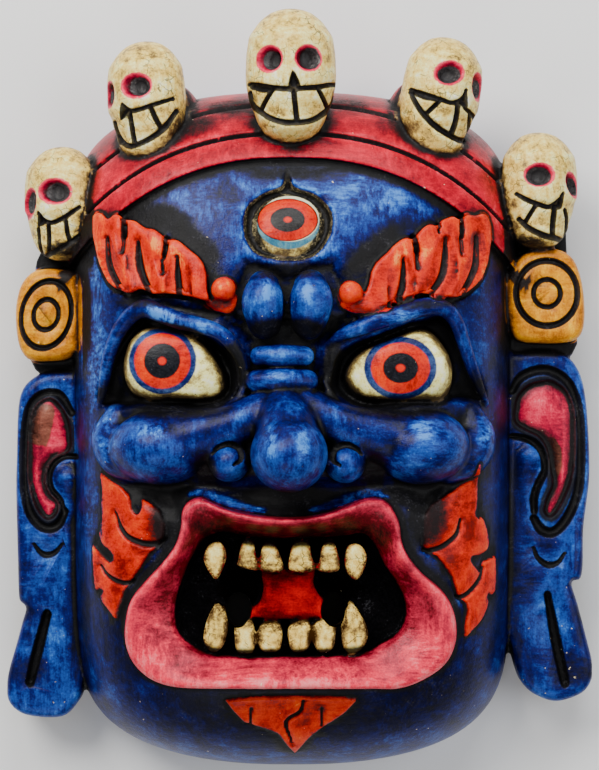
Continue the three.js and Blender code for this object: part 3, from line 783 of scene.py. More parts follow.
plugBoard = {"back": 16.0, "front": 50.0, "soft": 6.0}
# The dark wood between ears, plugs and head.
webBoard = {"back": 14, "front": 35, "soft": 3}
webs = [
    [(-143, 10), (-143.5, 40), (-143, 66), (-139.6, 76), (-137, 96), (-108, 96), (-104, 8)],
    [(147.5, 18), (147, 50), (145, 72), (140, 102), (108, 102), (102, 12)],
]


def makeSides():
    made = []
    for ear in ears:
        made.append(cutBoard(ear["rim"], earBoard))
        knob = [(*at, *form) for at, form in zip(ear["knob"], earBoard["knob"])]
        made.append(ridge(knob))
    for plug in plugs:
        made.append(cutBoard(plug["edge"], plugBoard))
    for web in webs:
        made.append(cutBoard(web, webBoard))
    return made


# Skulls: one rounded form, copied and turned; the features are cut straight down, where each is seen from.
skullForm = {
    "outline": [(35, 0), (34.2, 6), (32.4, 10.8), (29.9, 14.2), (27.3, 16.9), (20.1, 21.9), (10, 23.3),
                (0, 23.6), (-4.6, 23.4),
                (-13.9, 21.6), (-19, 19.2), (-24.2, 17.4), (-29.4, 14.2), (-32.6, 10), (-34.4, 5), (-35, 0)],
    "teeth": [(-22, -5.4), (-10, -8.2), (0, -9), (10, -8), (23, -4.6), (22.5, -10), (19, -18), (8, -24),
              (-6, -23.5), (-16, -18),
              (-21, -12)],
    "halfHeight": 35, "fullFront": 0.96, "fullBack": 0.85,
}
skulls = [
    {
        "at": (-4.5, 162.5, 84), "yaw": 0, "roll": 0, "size": 1.0,
        "sockets": [(-15.4, 168.7, 6.2, 6.3, 0), (4.6, 169.0, 6.3, 6.2, 0)],
        "pits": [(-14.0, 168.2, 4.5, 4.9, 0), (5.5, 169.0, 5.3, 5.6, 0)],
        "nose": [(-3.3, 162.8), (0.5, 155.4), (-1.3, 152.8), (-4.4, 152.8), (-5.7, 155.4)],
        "lines": [[(-25.9, 157.2, 0.9), (-19.2, 155.4, 1), (-12.6, 153.8, 1.1), (-4.9, 153.2, 1.2),
                   (0.3, 153.5, 1.1),
                   (8.0, 154.4, 1.1), (13.6, 155.9, 1), (19.8, 158.1, 0.9)],
                  [(-3.1, 153.8, 1.3), (-2.3, 146.2, 1.3), (-1.3, 137.4, 1.3)],
                  [(-14.1, 152.8, 1.1), (-17.2, 148.2, 1.1), (-19.8, 143.6, 1.1)],
                  [(9.5, 154.1, 1), (12.1, 149.7, 1.1), (14.6, 144.9, 1)],
                  [(-25.7, 153.3, 0.9), (-23.9, 146.7, 1.1), (-19.2, 142.0, 1.2), (-13.6, 138.5, 1.3),
                   (-6.9, 136.7, 1.4),
                   (0.3, 136.9, 1.3), (6.4, 138.2, 1.3), (11.5, 141.5, 1.2), (16.2, 146.2, 1),
                   (18.0, 151.3, 0.8)],
                  [(-24.4, 155.6, 1), (-19.2, 153.6, 1.2), (-14.1, 152.8, 0.8)]],
    },
    {
        "at": (-80, 151, 66), "yaw": -42, "roll": 2, "size": 0.92,
        "sockets": [(-84.6, 157.3, 7.4, 6.0, 0), (-99.4, 154.1, 2.6, 6.3, 0)],
        "pits": [(-82.8, 157.0, 5.5, 4.8, 0), (-98.2, 153.0, 1.2, 3.6, 0)],
        "nose": [(-92.9, 148.4), (-88.0, 144.2), (-93.4, 140.3)],
        "lines": [[(-92.6, 148.1, 0.8), (-88.0, 144.5, 1.1), (-82.3, 145.2, 1.1), (-74.5, 147.8, 1.1),
                   (-65.7, 151.0, 0.9)],
                  [(-97.3, 140.1, 0.9), (-94.7, 132.3, 1.1), (-90.6, 127.6, 1.2), (-85.4, 127.2, 1.3),
                   (-77.6, 130.5, 1.4),
                   (-70.3, 135.9, 1.4), (-64.1, 144.7, 1)],
                  [(-88.5, 144.2, 1.2), (-87.2, 135.4, 1.2), (-86.2, 128.1, 1.2)],
                  [(-77.1, 145.8, 1.2), (-74.5, 140.1, 1.3), (-71.9, 135.4, 1.2)],
                  [(-96.8, 139.5, 0.9), (-95.5, 134.3, 0.9), (-94.2, 129.2, 0.9)]],
    },
    {
        "at": (73.5, 153, 66), "yaw": 44, "roll": -9, "size": 0.93,
        "sockets": [(77.6, 163.9, 7.2, 5.8, 8), (93.3, 158.0, 3.1, 6.7, 0)],
        "pits": [(77.6, 163.1, 6.2, 4.6, 8), (92.5, 157.4, 2.2, 4.8, 0)],
        "nose": [(86.7, 155.9), (87.7, 146.3), (83.3, 148.1)],
        "lines": [[(57.9, 156.1, 0.8), (65.1, 153.0, 1.1), (72.9, 150.2, 1.1), (78.1, 148.5, 1.1),
                   (81.7, 149.0, 1.1),
                   (85.4, 151.7, 0.9), (86.9, 155.6, 0.7)],
                  [(86.4, 146.0, 1), (90.6, 143.4, 1.1), (93.7, 141.6, 1)],
                  [(57.6, 154.6, 0.9), (60.5, 148.4, 1.2), (64.6, 142.6, 1.4), (70.3, 136.9, 1.4),
                   (76.6, 133.2, 1.4),
                   (82.3, 130.8, 1.3), (86.4, 130.9, 1.2), (88.8, 133.3, 1), (89.0, 143.2, 0.9)],
                  [(82.3, 148.4, 1.2), (81.5, 140.1, 1.3), (79.4, 133.3, 1.3)],
                  [(73.4, 149.9, 1), (69.8, 146.5, 1.1), (65.7, 142.9, 1.1)],
                  [(58.9, 154.8, 1.2), (64.6, 151.7, 1.4), (70.8, 149.9, 0.9)]],
    },
    {
        "at": (-127, 99, 45), "yaw": -32, "roll": 0, "size": 0.88,
        "sockets": [(-129.1, 104.3, 8.2, 6.3, 0), (-143.4, 98.5, 3.5, 7.4, -8)],
        "pits": [(-127.6, 103.8, 6.4, 5.2, 0), (-142.2, 99.0, 2.4, 5.8, -8)],
        "nose": [(-138.1, 93.2), (-134.4, 87.9), (-138.9, 86.3)],
        "lines": [[(-138.6, 93.2, 0.8), (-135.4, 89.2, 1), (-131.2, 87.9, 1.1), (-125.9, 89.7, 1.1),
                   (-121.1, 92.6, 1.1),
                   (-116.3, 96.1, 0.9)],
                  [(-133.0, 86.8, 1), (-133.0, 79.9, 1.1), (-133.3, 72.5, 1)],
                  [(-123.5, 88.9, 1), (-123.0, 83.1, 1.1), (-121.6, 77.3, 1)],
                  [(-138.6, 69.8, 1), (-131.2, 72.5, 1.2), (-122.7, 76.7, 1.3), (-116.3, 81.5, 1.2)],
                  [(-138.9, 85.2, 0.9), (-138.6, 78.3, 0.9), (-137.5, 71.4, 0.9)]],
    },
    {
        "at": (128, 106, 45), "yaw": 32, "roll": 0, "size": 0.9,
        "sockets": [(126.7, 113.0, 7.4, 5.7, 0), (145.1, 108.3, 3.3, 6.4, 20)],
        "pits": [(126.2, 112.2, 6.8, 5.0, 0), (145.4, 107.7, 2.4, 5.1, 20)],
        "nose": [(139.9, 103.8), (138.9, 95.8), (135.7, 95.8)],
        "lines": [[(114.7, 103.2, 0.9), (119.5, 100.1, 1.1), (124.8, 97.9, 1.1), (131.2, 96.1, 1.1),
                   (134.4, 97.4, 1),
                   (138.1, 100.6, 0.9), (139.9, 103.8, 0.7)],
                  [(124.8, 96.9, 1.1), (122.4, 92.9, 1.1), (120.0, 88.9, 1.1)],
                  [(135.2, 96.3, 1.3), (134.6, 89.5, 1.4), (134.4, 81.5, 1.3)],
                  [(116.3, 90.0, 1), (122.2, 84.7, 1.3), (130.1, 81.2, 1.4), (135.9, 80.2, 1.3),
                   (141.8, 79.1, 1.1)],
                  [(141.2, 94.8, 1), (142.8, 88.4, 1), (142.0, 79.9, 1)]],
    },
]


# How far off a line of changing width each point is, in halves of that width: 1 at its edge, 9 out of reach.
def offLine(x, y, path):
    path = drawn(path, False, 5)
    reach, beyond = 6.0, 9.0
    near = (x > path[:, 0].min() - reach) & (x < path[:, 0].max() + reach)
    near &= (y > path[:, 1].min() - reach) & (y < path[:, 1].max() + reach)
    px, py = x[near], y[near]
    found = np.full(px.shape, beyond)
    for (ax, ay, aw), (bx, by, bw) in zip(path[:-1], path[1:]):
        dx, dy = bx - ax, by - ay
        share = np.clip(((px - ax) * dx + (py - ay) * dy) / (dx * dx + dy * dy + 1e-9), 0, 1)
        away = np.hypot(px - ax - share * dx, py - ay - share * dy) / (aw + (bw - aw) * share)
        found = np.minimum(found, away)
    best = np.full(x.shape, beyond)
    best[near] = found
    return best


def makeSkull():
    bpy.ops.mesh.primitive_uv_sphere_add(segments=64, ring_count=48, radius=1)
    piece = bpy.context.object
    piece.name = "skull"
    p = pointsOf(piece)
    heights, widths = np.array(skullForm["outline"][::-1]).T
    y = skullForm["halfHeight"] * np.clip(p[:, 2], -1, 1)
    width = np.interp(y, heights, widths)
    turn = np.arctan2(-p[:, 1], p[:, 0])
    x, z = width * np.cos(turn), width * np.sin(turn)
    z = z * np.where(z > 0, skullForm["fullFront"], skullForm["fullBack"])
    front = z > 1
    # The brow stands proud of the cheeks, and the teeth are set back under them.
    z = z + np.where(front, 1.2 * np.exp(-((y - 15) / 8) ** 2) * np.exp(-(x / 16) ** 2), 0)
    z = z - np.where(front, 1.6 * smoothstep(1, -1.5, edgeDistance(x, y, drawn(skullForm["teeth"], True))), 0)
    setPoints(piece, np.column_stack([x, y, z]))
    return piece


def skullSpin(skull):
    yaw, roll = math.radians(skull["yaw"]), math.radians(skull["roll"])
    about = np.array([[math.cos(yaw), 0, math.sin(yaw)], [0, 1, 0], [-math.sin(yaw), 0, math.cos(yaw)]])
    lean = np.array([[math.cos(roll), -math.sin(roll), 0], [math.sin(roll), math.cos(roll), 0], [0, 0, 1]])
    return lean @ about


def placeSkulls(first):
    made = []
    carved = pointsOf(first)
    for skull in skulls:
        only(first)
        bpy.ops.object.duplicate()
        piece = bpy.context.object
        setPoints(piece, (carved * skull["size"]) @ skullSpin(skull).T + skull["at"])
        made.append(piece)
    bpy.data.objects.remove(first)
    return made


# How far from an oval's middle, as a share of its own reach: 1 on its edge.
def ovalShare(x, y, oval):
    cx, cy, rx, ry, turn = oval
    turn = math.radians(turn)
    u = (x - cx) * math.cos(turn) + (y - cy) * math.sin(turn)
    v = -(x - cx) * math.sin(turn) + (y - cy) * math.cos(turn)
    return np.hypot(u / rx, v / ry)


# A short round root under each skull, leaning in to the band.
def skullRoots():
    return [
        ball((x * 0.88, y * 0.925, z - 22), (19, 25, 20), (0, skull["yaw"], 0))
        for skull in skulls for x, y, z in [skull["at"]]
    ]


# Teeth, cut as short posts with rounded ends, and the tongue.
teeth = [
    [(-49.2, -86.3), (-47.2, -80.7), (-43.1, -78.4), (-39.5, -79.6), (-37.5, -85.3), (-39, -91.4),
     (-42.4, -97.6), (-45.2, -95.5),
     (-47.7, -91.4)],
    [(-31.6, -88.3), (-29, -78.4), (-23.6, -78.4), (-22.4, -85.3), (-21, -92.6), (-26.8, -92.2),
     (-31.6, -90.4)],
    [(-20.2, -86.3), (-18.6, -79.8), (-13.5, -79.2), (-9.9, -85.3), (-8.7, -93.2), (-19.8, -93.2)],
    [(-5, -85.3), (-2.5, -78.4), (4.3, -78.4), (6.1, -84.7), (7.1, -93.2), (-5, -92.8)],
    [(10.3, -87.3), (11.8, -80.2), (15.6, -77.9), (18.8, -81.2), (20.4, -92.8), (9.7, -93.2)],
    [(23.7, -83.2), (25.8, -79.8), (30.9, -79.8), (34.4, -85.3), (33.1, -92.4), (29.3, -98),
     (24.7, -94.4), (23, -88.3)],
    [(-41.6, -109.8), (-37.4, -115.9), (-36.8, -124), (-39.5, -132.4), (-44.6, -135), (-49, -129.6),
     (-48.4, -122), (-45.7, -114.3)],
    [(-32.6, -119), (-24, -119.6), (-23, -133.4), (-27.8, -136), (-32.6, -133.4)],
    [(-20.4, -121.6), (-9.7, -121.2), (-9.7, -132.9), (-15.1, -135), (-20.4, -132.9)],
    [(-5.6, -122), (5, -120), (5, -131.9), (0.3, -135), (-4.5, -133.4)],
    [(7.2, -121), (17.8, -118.6), (18.3, -129.3), (15.6, -134.5), (8.7, -133.9)],
    [(25.8, -109.8), (32.1, -116.9), (35.2, -125.6), (32, -133.4), (25.8, -136), (22, -131.2), (21.5, -122)],
]
toothForm = {"back": 80.0, "front": 104.0, "soft": 2.6}
tongue = {
    "edge": [(-17.8, -92), (-18.6, -102.4), (-20.3, -109.7), (-25, -114.8), (-22.4, -119), (10, -119),
             (12.6, -110.5), (9.4, -105.5),
             (7, -100), (5.9, -92)],
    "back": 80.0, "front": 94.5, "soft": 3.0,
}


def makeBite():
    return [cutBoard(edge, toothForm) for edge in teeth] + [cutBoard(tongue["edge"], tongue)]


# The one block of wood: roughed out, cut fine, then hollowed from behind. Grain is the size of the remeshing.
grain = {"rough": 1.5, "fine": 1.0}


def makeSwells():
    parts = [ball(at, radii, turn) for at, radii, turn in faceBalls]
    swells = remeshed(united(parts + [ridge(points) for points in faceRidges]), grain["fine"])
    return applied(swells, 'SMOOTH', factor=0.5, iterations=24)


def roughOut():
    blank = remeshed(headBlank(0, 0, 0), grain["rough"])
    sinkFace(blank)
    print("blank sunk")
    parts = [makeLips(), *makeBrows(), makeCrown(), *makeSides(), *skullRoots(), *placeSkulls(makeSkull())]
    parts += [makeSwells(), *[ball(at, radii) for at, radii in browBeads]]
    parts += [ridge(points) for points in [*knobs, *rolls, *stems, *upperLids, *lowerLids]]
    parts += makeBite()
    whole = remeshed(combined(blank, united(parts), 'UNION'), grain["fine"])
    whole.name = "mask"
    applied(whole, 'SMOOTH', factor=0.5, iterations=2)
    print("roughed out", len(whole.data.polygons))
    return whole


# Ear shells: a raised rim, a groove inside it, a sunken pink shell and the cuts in the lobe.
earCuts = {"shell": 3.4, "swell": 1.9, "groove": 3.6, "knobGroove": 4.2, "crescent": 2.2, "slot": 6.0}


def carveEar(ear, x, y):
    sink = np.zeros(x.shape)
    shell = edgeDistance(x, y, drawn(ear["concha"], True, 4))
    sink += earCuts["shell"] * smoothstep(0.6, -1.4, shell) - earCuts["swell"] * smoothstep(-1.5, -7, shell)
    sink = np.maximum(sink, earCuts["groove"] * smoothstep(1.8, 0.3, offLine(x, y, ear["groove"])))
    sink = np.maximum(sink, earCuts["knobGroove"] * smoothstep(1.6, 0.3, offLine(x, y, ear["knobGroove"])))
    sink += earCuts["crescent"] * smoothstep(1.3, 0.2, offLine(x, y, ear["crescent"]))
    sink += earCuts["slot"] * smoothstep(1.15, 0.55, offLine(x, y, ear["slot"]))
    return sink


# How far inside a skull's skin each point is, its own half height being the limit up and down.
def onSkull(p, skull):
    local = (p - skull["at"]) @ skullSpin(skull) / skull["size"]
    heights, widths = np.array(skullForm["outline"][::-1]).T
    width = np.interp(local[:, 1], heights, widths)
    inside = (width * 1.06 + 0.6 - np.hypot(local[:, 0], local[:, 2])) * skull["size"]
    return np.minimum(inside, skullForm["halfHeight"] + 1 - np.abs(local[:, 1]))


skullCuts = {"socket": 3.8, "pit": 2.6, "nose": 3.4, "line": 2.2}


def carveSkulls(p):
    x, y = p[:, 0], p[:, 1]
    sink = np.zeros(x.shape)
    for skull in skulls:
        here = onSkull(p, skull) > 0
        if not here.any():
            continue
        cut = np.zeros(x.shape)
        for oval in skull["sockets"]:
            cut = np.maximum(cut, skullCuts["socket"] * smoothstep(1.08, 0.7, ovalShare(x, y, oval)))
        for oval in skull["pits"]:
            cut += skullCuts["pit"] * smoothstep(1.05, 0.6, ovalShare(x, y, oval))
        nose = edgeDistance(x, y, skull["nose"])
        cut = np.maximum(cut, skullCuts["nose"] * smoothstep(0.6, -1.2, nose))
        for line in skull["lines"]:
            cut = np.maximum(cut, skullCuts["line"] * smoothstep(1.35, 0.3, offLine(x, y, line)))
        sink += here * cut
    return sink


# Depths of the fine cuts. A patch has its own depth beside each cut, where the tongues of flame round over.
browCuts = {"groove": 2.6, "rounding": 1.7, "notch": 3.5}
flameCuts = {"groove": 2.2, "rounding": 0.6, "notch": 3.5}
fineCuts = {"curl": 2.2, "band": 2.8, "ring": 2.4}


def carvePatch(patch, depths, x, y):
    inside = edgeDistance(x, y, patch["edge"]) < 2
    sink = np.zeros(x.shape)
    for groove in patch["grooves"]:
        away = offLine(x, y, groove)
        sink += inside * depths["groove"] * smoothstep(1.3, 0.2, away)
        sink += inside * depths["rounding"] * smoothstep(5.5, 1.0, away)
    for notch in patch["notches"]:
        sink += depths["notch"] * smoothstep(1.2, 0.4, offLine(x, y, notch))
    return sink


def carveBand(p):
    x, y, z = p.T
    onBand = (z > crown["lowest"]) & (np.abs(x - head["x"]) < head["halfWidth"] + 5)
    onBand &= np.max([onSkull(p, skull) for skull in skulls], 0) < 0
    sink = np.zeros(x.shape)
    for level, half in crown["grooves"]:
        away = np.abs(y - crownEdge(x, level)) / half
        sink += onBand * fineCuts["band"] * smoothstep(1.5, 0.2, away)
    return sink


# How far off each point is from a plug's ring, which is an oval of half width and half height.
def offRing(x, y, plug, radii):
    rx, ry = radii
    return np.abs(ovalShare(x, y, (*plug["centre"], rx, ry, plug["turn"])) - 1) * (rx + ry) / 2


def carvePlug(plug, x, y, z):
    cx, cy = plug["centre"]
    near = (np.abs(x - cx) < 26) & (np.abs(y - cy) < 32) & (z > 42)
    sink = np.zeros(x.shape)
    for radii, half in plug["rings"]:
        sink += near * fineCuts["ring"] * smoothstep(half * 1.35, half * 0.3, offRing(x, y, plug, radii))
    return sink


def carveFine(piece):
    p, n = pointsOf(piece), normalsOf(piece)
    x, y, z = p.T
    facing = smoothstep(0.15, 0.5, n[:, 2])
    onFace = facing * (z > 42)
    move = -facing * carveBand(p)
    for flame in flames:
        move += onFace * flameRaise * smoothstep(0.8, -0.8, edgeDistance(x, y, flame["edge"]))
    for patches, depths in ((brows, browCuts), (flames, flameCuts)):
        for patch in patches:
            move -= onFace * carvePatch(patch, depths, x, y)
    for curl in curls:
        move -= onFace * fineCuts["curl"] * smoothstep(1.4, 0.2, offLine(x, y, curl))
    for ear in ears:
        near = (ear["side"] * x > 110) & (z > 30) & (y < 26)
        move -= near * facing * carveEar(ear, x, y)
    for plug in plugs:
        move -= facing * carvePlug(plug, x, y, z)
    move -= smoothstep(0.05, 0.4, n[:, 2]) * carveSkulls(p)
    setPoints(piece, p + n * move[:, None])

    # The rim is set flat on the base, and the sides are kept within the solid's width.
    p = pointsOf(piece)
    flatBelow = 0.6
    p[:, 2] = np.where(p[:, 2] < flatBelow, 0, p[:, 2])
    reach = (maskHigh.x - maskLow.x) / 2 / mm - 0.1
    p[:, 0] = np.clip(p[:, 0], -reach, reach)
    setPoints(piece, p)


def hollowOut(piece):
    wall = head["wall"]
    holeMiddle, holeHalfDepth = 78, 40
    combined(piece, headBlank(-wall["side"], -wall["end"], -wall["front"], 96, 72), 'DIFFERENCE')
    for x, y in mouth["holes"]:
        drill = ball((x, y, holeMiddle), (*mouth["holeRadii"], holeHalfDepth), around=32, rings=24)
        combined(piece, drill, 'DIFFERENCE')
    # A cut right on the flat base leaves slivers, so the rim is planed a hair higher and set down again.
    planed = 0.05
    combined(piece, block((0, 0, planed - 100), (800, 800, 200)), 'DIFFERENCE')
    p = pointsOf(piece)
    p[:, 2] = np.where(p[:, 2] < planed + 0.01, 0, p[:, 2])
    setPoints(piece, p)


def makeMask():
    whole = roughOut()
    carveFine(whole)
    hollowOut(whole)
    print("hollowed", len(whole.data.polygons))
    return whole


# Merges points that lie a hair apart and clears faces with no area and loose edges.
def cleaned(piece, hair=0.02):
    only(piece)
    bpy.ops.object.mode_set(mode='EDIT')
    bpy.ops.mesh.select_all(action='SELECT')
    bpy.ops.mesh.remove_doubles(threshold=hair)
    bpy.ops.mesh.dissolve_degenerate(threshold=hair)
    bpy.ops.mesh.delete_loose()
    bpy.ops.object.mode_set(mode='OBJECT')
    applied(piece, 'TRIANGULATE')


def thinned(piece, most):
    cleaned(piece)
    count = len(piece.data.polygons)
    if count > most:
        applied(piece, 'DECIMATE', ratio=most / count)
        cleaned(piece)
    only(piece)
    bpy.ops.object.shade_smooth()
    print("thinned", count, "to", len(piece.data.polygons))
    return piece


mostTriangles = 194000
mask = thinned(makeMask(), mostTriangles)


# Paint. Each region is a distance in from its edge, in millimetres, kept on the points of the mesh.
def within(x, y, outline):
    return -edgeDistance(x, y, drawn(outline, True, 5))


def softened(piece, points, rounds):
    edges = np.empty(len(piece.data.edges) * 2, dtype=np.int32)
    piece.data.edges.foreach_get("vertices", edges)
    a, b = edges.reshape(-1, 2).T
    count = len(points)
    share = (np.bincount(a, minlength=count) + np.bincount(b, minlength=count))[:, None]
    for _ in range(rounds):
        total = [np.bincount(a, column[b], count) + np.bincount(b, column[a], count) for column in points.T]
        points = points + 0.6 * (np.column_stack(total) / share - points)
    return points


# How much of the sky over each point is shut out by the carving round it.
def shutIn(p, n, chosen, reach=26.0, rays=44):
    turns = np.arange(rays) * math.pi * (3 - math.sqrt(5))
    heights = 1 - 2 * (np.arange(rays) + 0.5) / rays
    flat = np.sqrt(1 - heights ** 2)
    ways = np.column_stack([flat * np.cos(turns), flat * np.sin(turns), heights])
    tree = BVHTree.FromObject(mask, bpy.context.evaluated_depsgraph_get())
    vectors = [Vector(way) for way in ways]
    result = np.zeros(len(p))
    for i in np.nonzero(chosen)[0]:
        start = Vector(p[i] + n[i] * 0.5)
        facing = ways @ n[i]
        shut = total = 0.0
        for j in np.nonzero(facing > 0.15)[0]:
            total += facing[j]
            distance = tree.ray_cast(start, vectors[j], reach)[3]
            if distance is not None:
                shut += facing[j] * (1 - distance / reach)
        result[i] = shut / (total + 0.001)
    return result


# Light dry-brushed blue and painted highlights, then soot and painted shade: x, y, reach across, reach up,
# turn, amount.
dustAndHighlightPlaces = [
    (-50, 97, 27, 12, 8, 0.5), (-34, 102, 18, 12, 0, 0.4), (44, 98, 32, 13, -18, 0.5),
    (20, 90, 9, 20, 0, 0.35),
    (-30, 82, 8, 9, 30, 0.3), (-69, 37.5, 14, 3.8, -26, 1.1), (-50, 32, 14, 3, -10, 0.5),
    (50, 38, 17, 4.2, 8, 0.75),
    (-16.5, 50, 3.4, 6, 0, 0.8), (4, 49, 3.2, 7, 0, 0.8), (-14, -26, 3.4, 9, 0, 0.7), (2, -27, 4, 10, 0, 0.6),
    (-74.5, -21, 9, 5, 0, 0.85), (63.5, -20.5, 10, 5, 0, 0.85), (-99, -22, 8, 17, 0, 0.55),
    (97, -20, 6, 14, 0, 0.5),
    (-109, 30, 9, 70, 0, 0.5), (-110, -60, 8, 50, 0, 0.25), (-84, 60, 12, 8, 20, 0.3),
    (-10, 18.5, 11, 2.4, 0, 0.4), (-9, 6.5, 12, 2.6, 0, 0.5), (-6, -9, 12, 4, 0, 0.3),
    (-28, -12, 12, 4, 25, 0.3),
    (18, -12, 12, 4, -25, 0.3), (-75, 75.5, 3, 6.5, 28, 1.0), (-62, 67, 3, 9, 38, 1.1),
    (52, 68, 4, 8, -35, 0.8),
    (66, 73, 3.5, 8, -30, 0.9), (-104, 72, 4.4, 22, 0, 0.5), (95.6, 72, 3.6, 20, 0, 0.45),
    (-39, 53, 4.5, 3, 0, 0.6),
    (26, 51, 4, 3, 0, 0.5), (-4.5, -150, 76, 8, 0, 0.3), (-74, -130, 14, 14, 20, 0.35),
    (66, -134, 14, 14, -20, 0.3),
    (-20, 60, 5, 2, 20, 0.5), (8, 60, 5, 2, -20, 0.5),
]
# Soot and painted shade, in the same columns.
sootAndShadePlaces = [
    (-54, 75, 24, 9, -40, 1.0), (-70, 88, 21, 10, -12, 1.0), (-100, 94, 14, 16, 40, 0.9),
    (38, 71, 27, 9, 42, 1.0),
    (86, 97, 21, 10, -36, 0.95), (-6, 112, 32, 6, 0, 0.8), (-38, 104, 8, 14, 25, 0.5),
    (-6, 61, 30, 6, 0, 0.8),
    (-6, 30, 30, 8, 0, 1.0), (-34, 10, 9, 20, 0, 1.0), (18, 9, 9, 20, 0, 1.0), (-66, -11, 36, 5.5, 0, 0.8),
    (52, -10.5, 34, 5.5, 0, 0.8), (-99, -3, 12, 10, 10, 0.8), (92, -1, 10, 12, 0, 0.75),
    (-80, 44, 26, 3.6, -4, 0.7),
    (64, 43, 26, 3.6, 4, 0.7), (-74, -55, 36, 9, 0, 1.0), (64, -55, 34, 9, 0, 1.0), (-6, -57, 44, 9, 0, 1.0),
    (-48, -42, 9, 12, 0, 0.9), (38, -42, 9, 12, 0, 0.9), (-82, -110, 9, 26, 10, 0.7),
    (70, -108, 9, 26, -10, 0.7),
    (-6, -170, 110, 22, 0, 0.62), (70, -160, 40, 16, 20, 0.6), (-102, -120, 14, 40, 0, 0.4),
    (98, -110, 14, 50, 0, 0.45), (-40, -148, 34, 6, 0, 0.6),
    (24, -147, 24, 5, 0, 0.6), (112, 20, 12, 100, 0, 0.55), (-115, -30, 6, 60, 0, 0.35),
    (-88, -142, 16, 16, 0, 0.5),
    (84, -146, 16, 14, 0, 0.5), (-138, -152, 30, 14, 0, 0.6), (142, -152, 30, 14, 0, 0.65),
    (-147, -120, 7, 44, 8, 0.5), (150, -120, 7, 44, -8, 0.5), (-114, -120, 5, 50, 0, 0.6),
    (118, -120, 6, 50, 0, 0.6),
    (138, -20, 6, 60, 0, 0.4), (-142, -30, 4, 60, 0, 0.35), (132, -84, 14, 10, 0, 0.45),
]
# Soot and painted shade that also lie over the red, orange and rose paint.
sootAndShadeOnPaint = [
    (-41, 43, 9, 4.5, 0, 0.7), (34, 41, 9, 3.5, 0, 0.55), (-77, 46.5, 30, 3.4, -4, 0.6),
    (62, 43, 26, 3, 4, 0.55),
    (42, 62, 6, 9, 15, 0.4), (92, 78, 5, 6, 0, 0.45), (-92, 51, 12, 3, 10, 0.45),
    (-56, 138, 18, 9, 10, 0.75), (-36, 149, 20, 7, 6, 0.8), (28, 150, 16, 6, -5, 0.7),
    (46, 139, 18, 7, -10, 0.5),
    (-30, 133, 12, 4, 6, 0.45), (70, 118, 6, 4, -20, 0.5),
    (98, 134, 12, 8, -40, 0.5), (-98, 128, 8, 12, 40, 0.35), (-84, 117, 10, 3, 25, 0.45),
    (104, 108, 4, 12, 30, 0.3),
    (-66, -70, 16, 24, 0, 0.95), (65, -64, 15, 24, 0, 0.95), (-125, 75, 16, 6, 10, 0.8),
    (122, 77, 16, 6, -10, 0.8), (-80, -84, 14, 10, 12, 0.45), (76, -92, 10, 14, -16, 0.5),
    (-92, -100, 8, 22, 0, 0.35), (88, -70, 6, 20, 0, 0.35),
    (-18, -152, 16, 10, 0, 0.5), (8, -154, 12, 8, 0, 0.5),
]
# Soot and painted shade on the lips, in the same columns.
sootAndShadeOnLips = [
    (-5, -72, 40, 4, 0, 0.35), (-50, -134, 14, 4, 0, 0.45), (36, -134, 5, 4, 0, 0.4),
    (-62, -120, 10, 12, 0, 0.35),
    (54, -118, 10, 12, 0, 0.3), (58, -94, 8, 15, -14, 0.45),
]
# Blue left outside the upper lip, past which the black starts.
lipStrokes = [
    [(-57, -54.5, 1.2), (-50, -53.4, 2.4), (-40, -57, 2.8), (-30, -60.4, 2.6), (-18, -62.6, 1.4)],
    [(6, -62.4, 1.4), (18, -59.2, 2.6), (28, -55.6, 2.8), (37, -53.4, 2.6), (44, -55, 1.2)],
]


def blotches(x, y, places):
    amount = np.zeros(x.shape)
    for cx, cy, rx, ry, turn, strength in places:
        share = ovalShare(x, y, (cx, cy, rx, ry, turn))
        amount = np.maximum(amount, strength * smoothstep(1.25, 0.35, share))
    return amount


# A line painted along a path: 1 on it, fading out just past its width.
def lined(x, y, paths, spread):
    amount = np.zeros(x.shape)
    for path in paths:
        amount = np.maximum(amount, smoothstep(spread + 0.35, spread - 0.35, offLine(x, y, path)))
    return amount


# How far past the edge of the nearest line, in halves of its width.
def pastLine(x, y, paths, spread):
    return np.min([offLine(x, y, path) for path in paths], 0) - spread


# Where each point lies: in plan, on the head, and how far inside the lips, skulls, teeth and flames.
def surveyed(p):
    x, y, z = p.T
    browBleed, flameBleed, beadBleed, stemHalf = 0.9, 0.2, 0.6, 3.4
    flame = np.max([within(x, y, brow["edge"]) + browBleed for brow in brows], 0)
    flame = np.maximum(flame, np.max([within(x, y, each["edge"]) + flameBleed for each in flames], 0))
    for at, radii in browBeads:
        flame = np.maximum(flame, radii[0] + beadBleed - np.hypot(x - at[0], y - at[1]))
    for stem in stems:
        flame = np.maximum(flame, stemHalf - pathDistance(x, y, stem))
    return SimpleNamespace(
        x=x, y=y, z=z, front=z > 40, flame=flame,
        offset=y - crownEdge(x, 0), onHead=np.abs(x - head["x"]) < head["halfWidth"] + 6,
        inLips=within(x, y, mouth["outer"]), inMouth=within(x, y, mouth["innerEdge"]),
        skull=np.max([onSkull(p, each) for each in skulls], 0),
        tooth=np.max([within(x, y, edge) for edge in teeth], 0),
    )


# A depth in from an edge where it holds, and well outside it everywhere else.
def onlyWhere(holds, depth):
    return np.where(holds, depth, -9.0)


def deepest(x, y, edges):
    return np.max([within(x, y, outline) for outline in edges], 0)


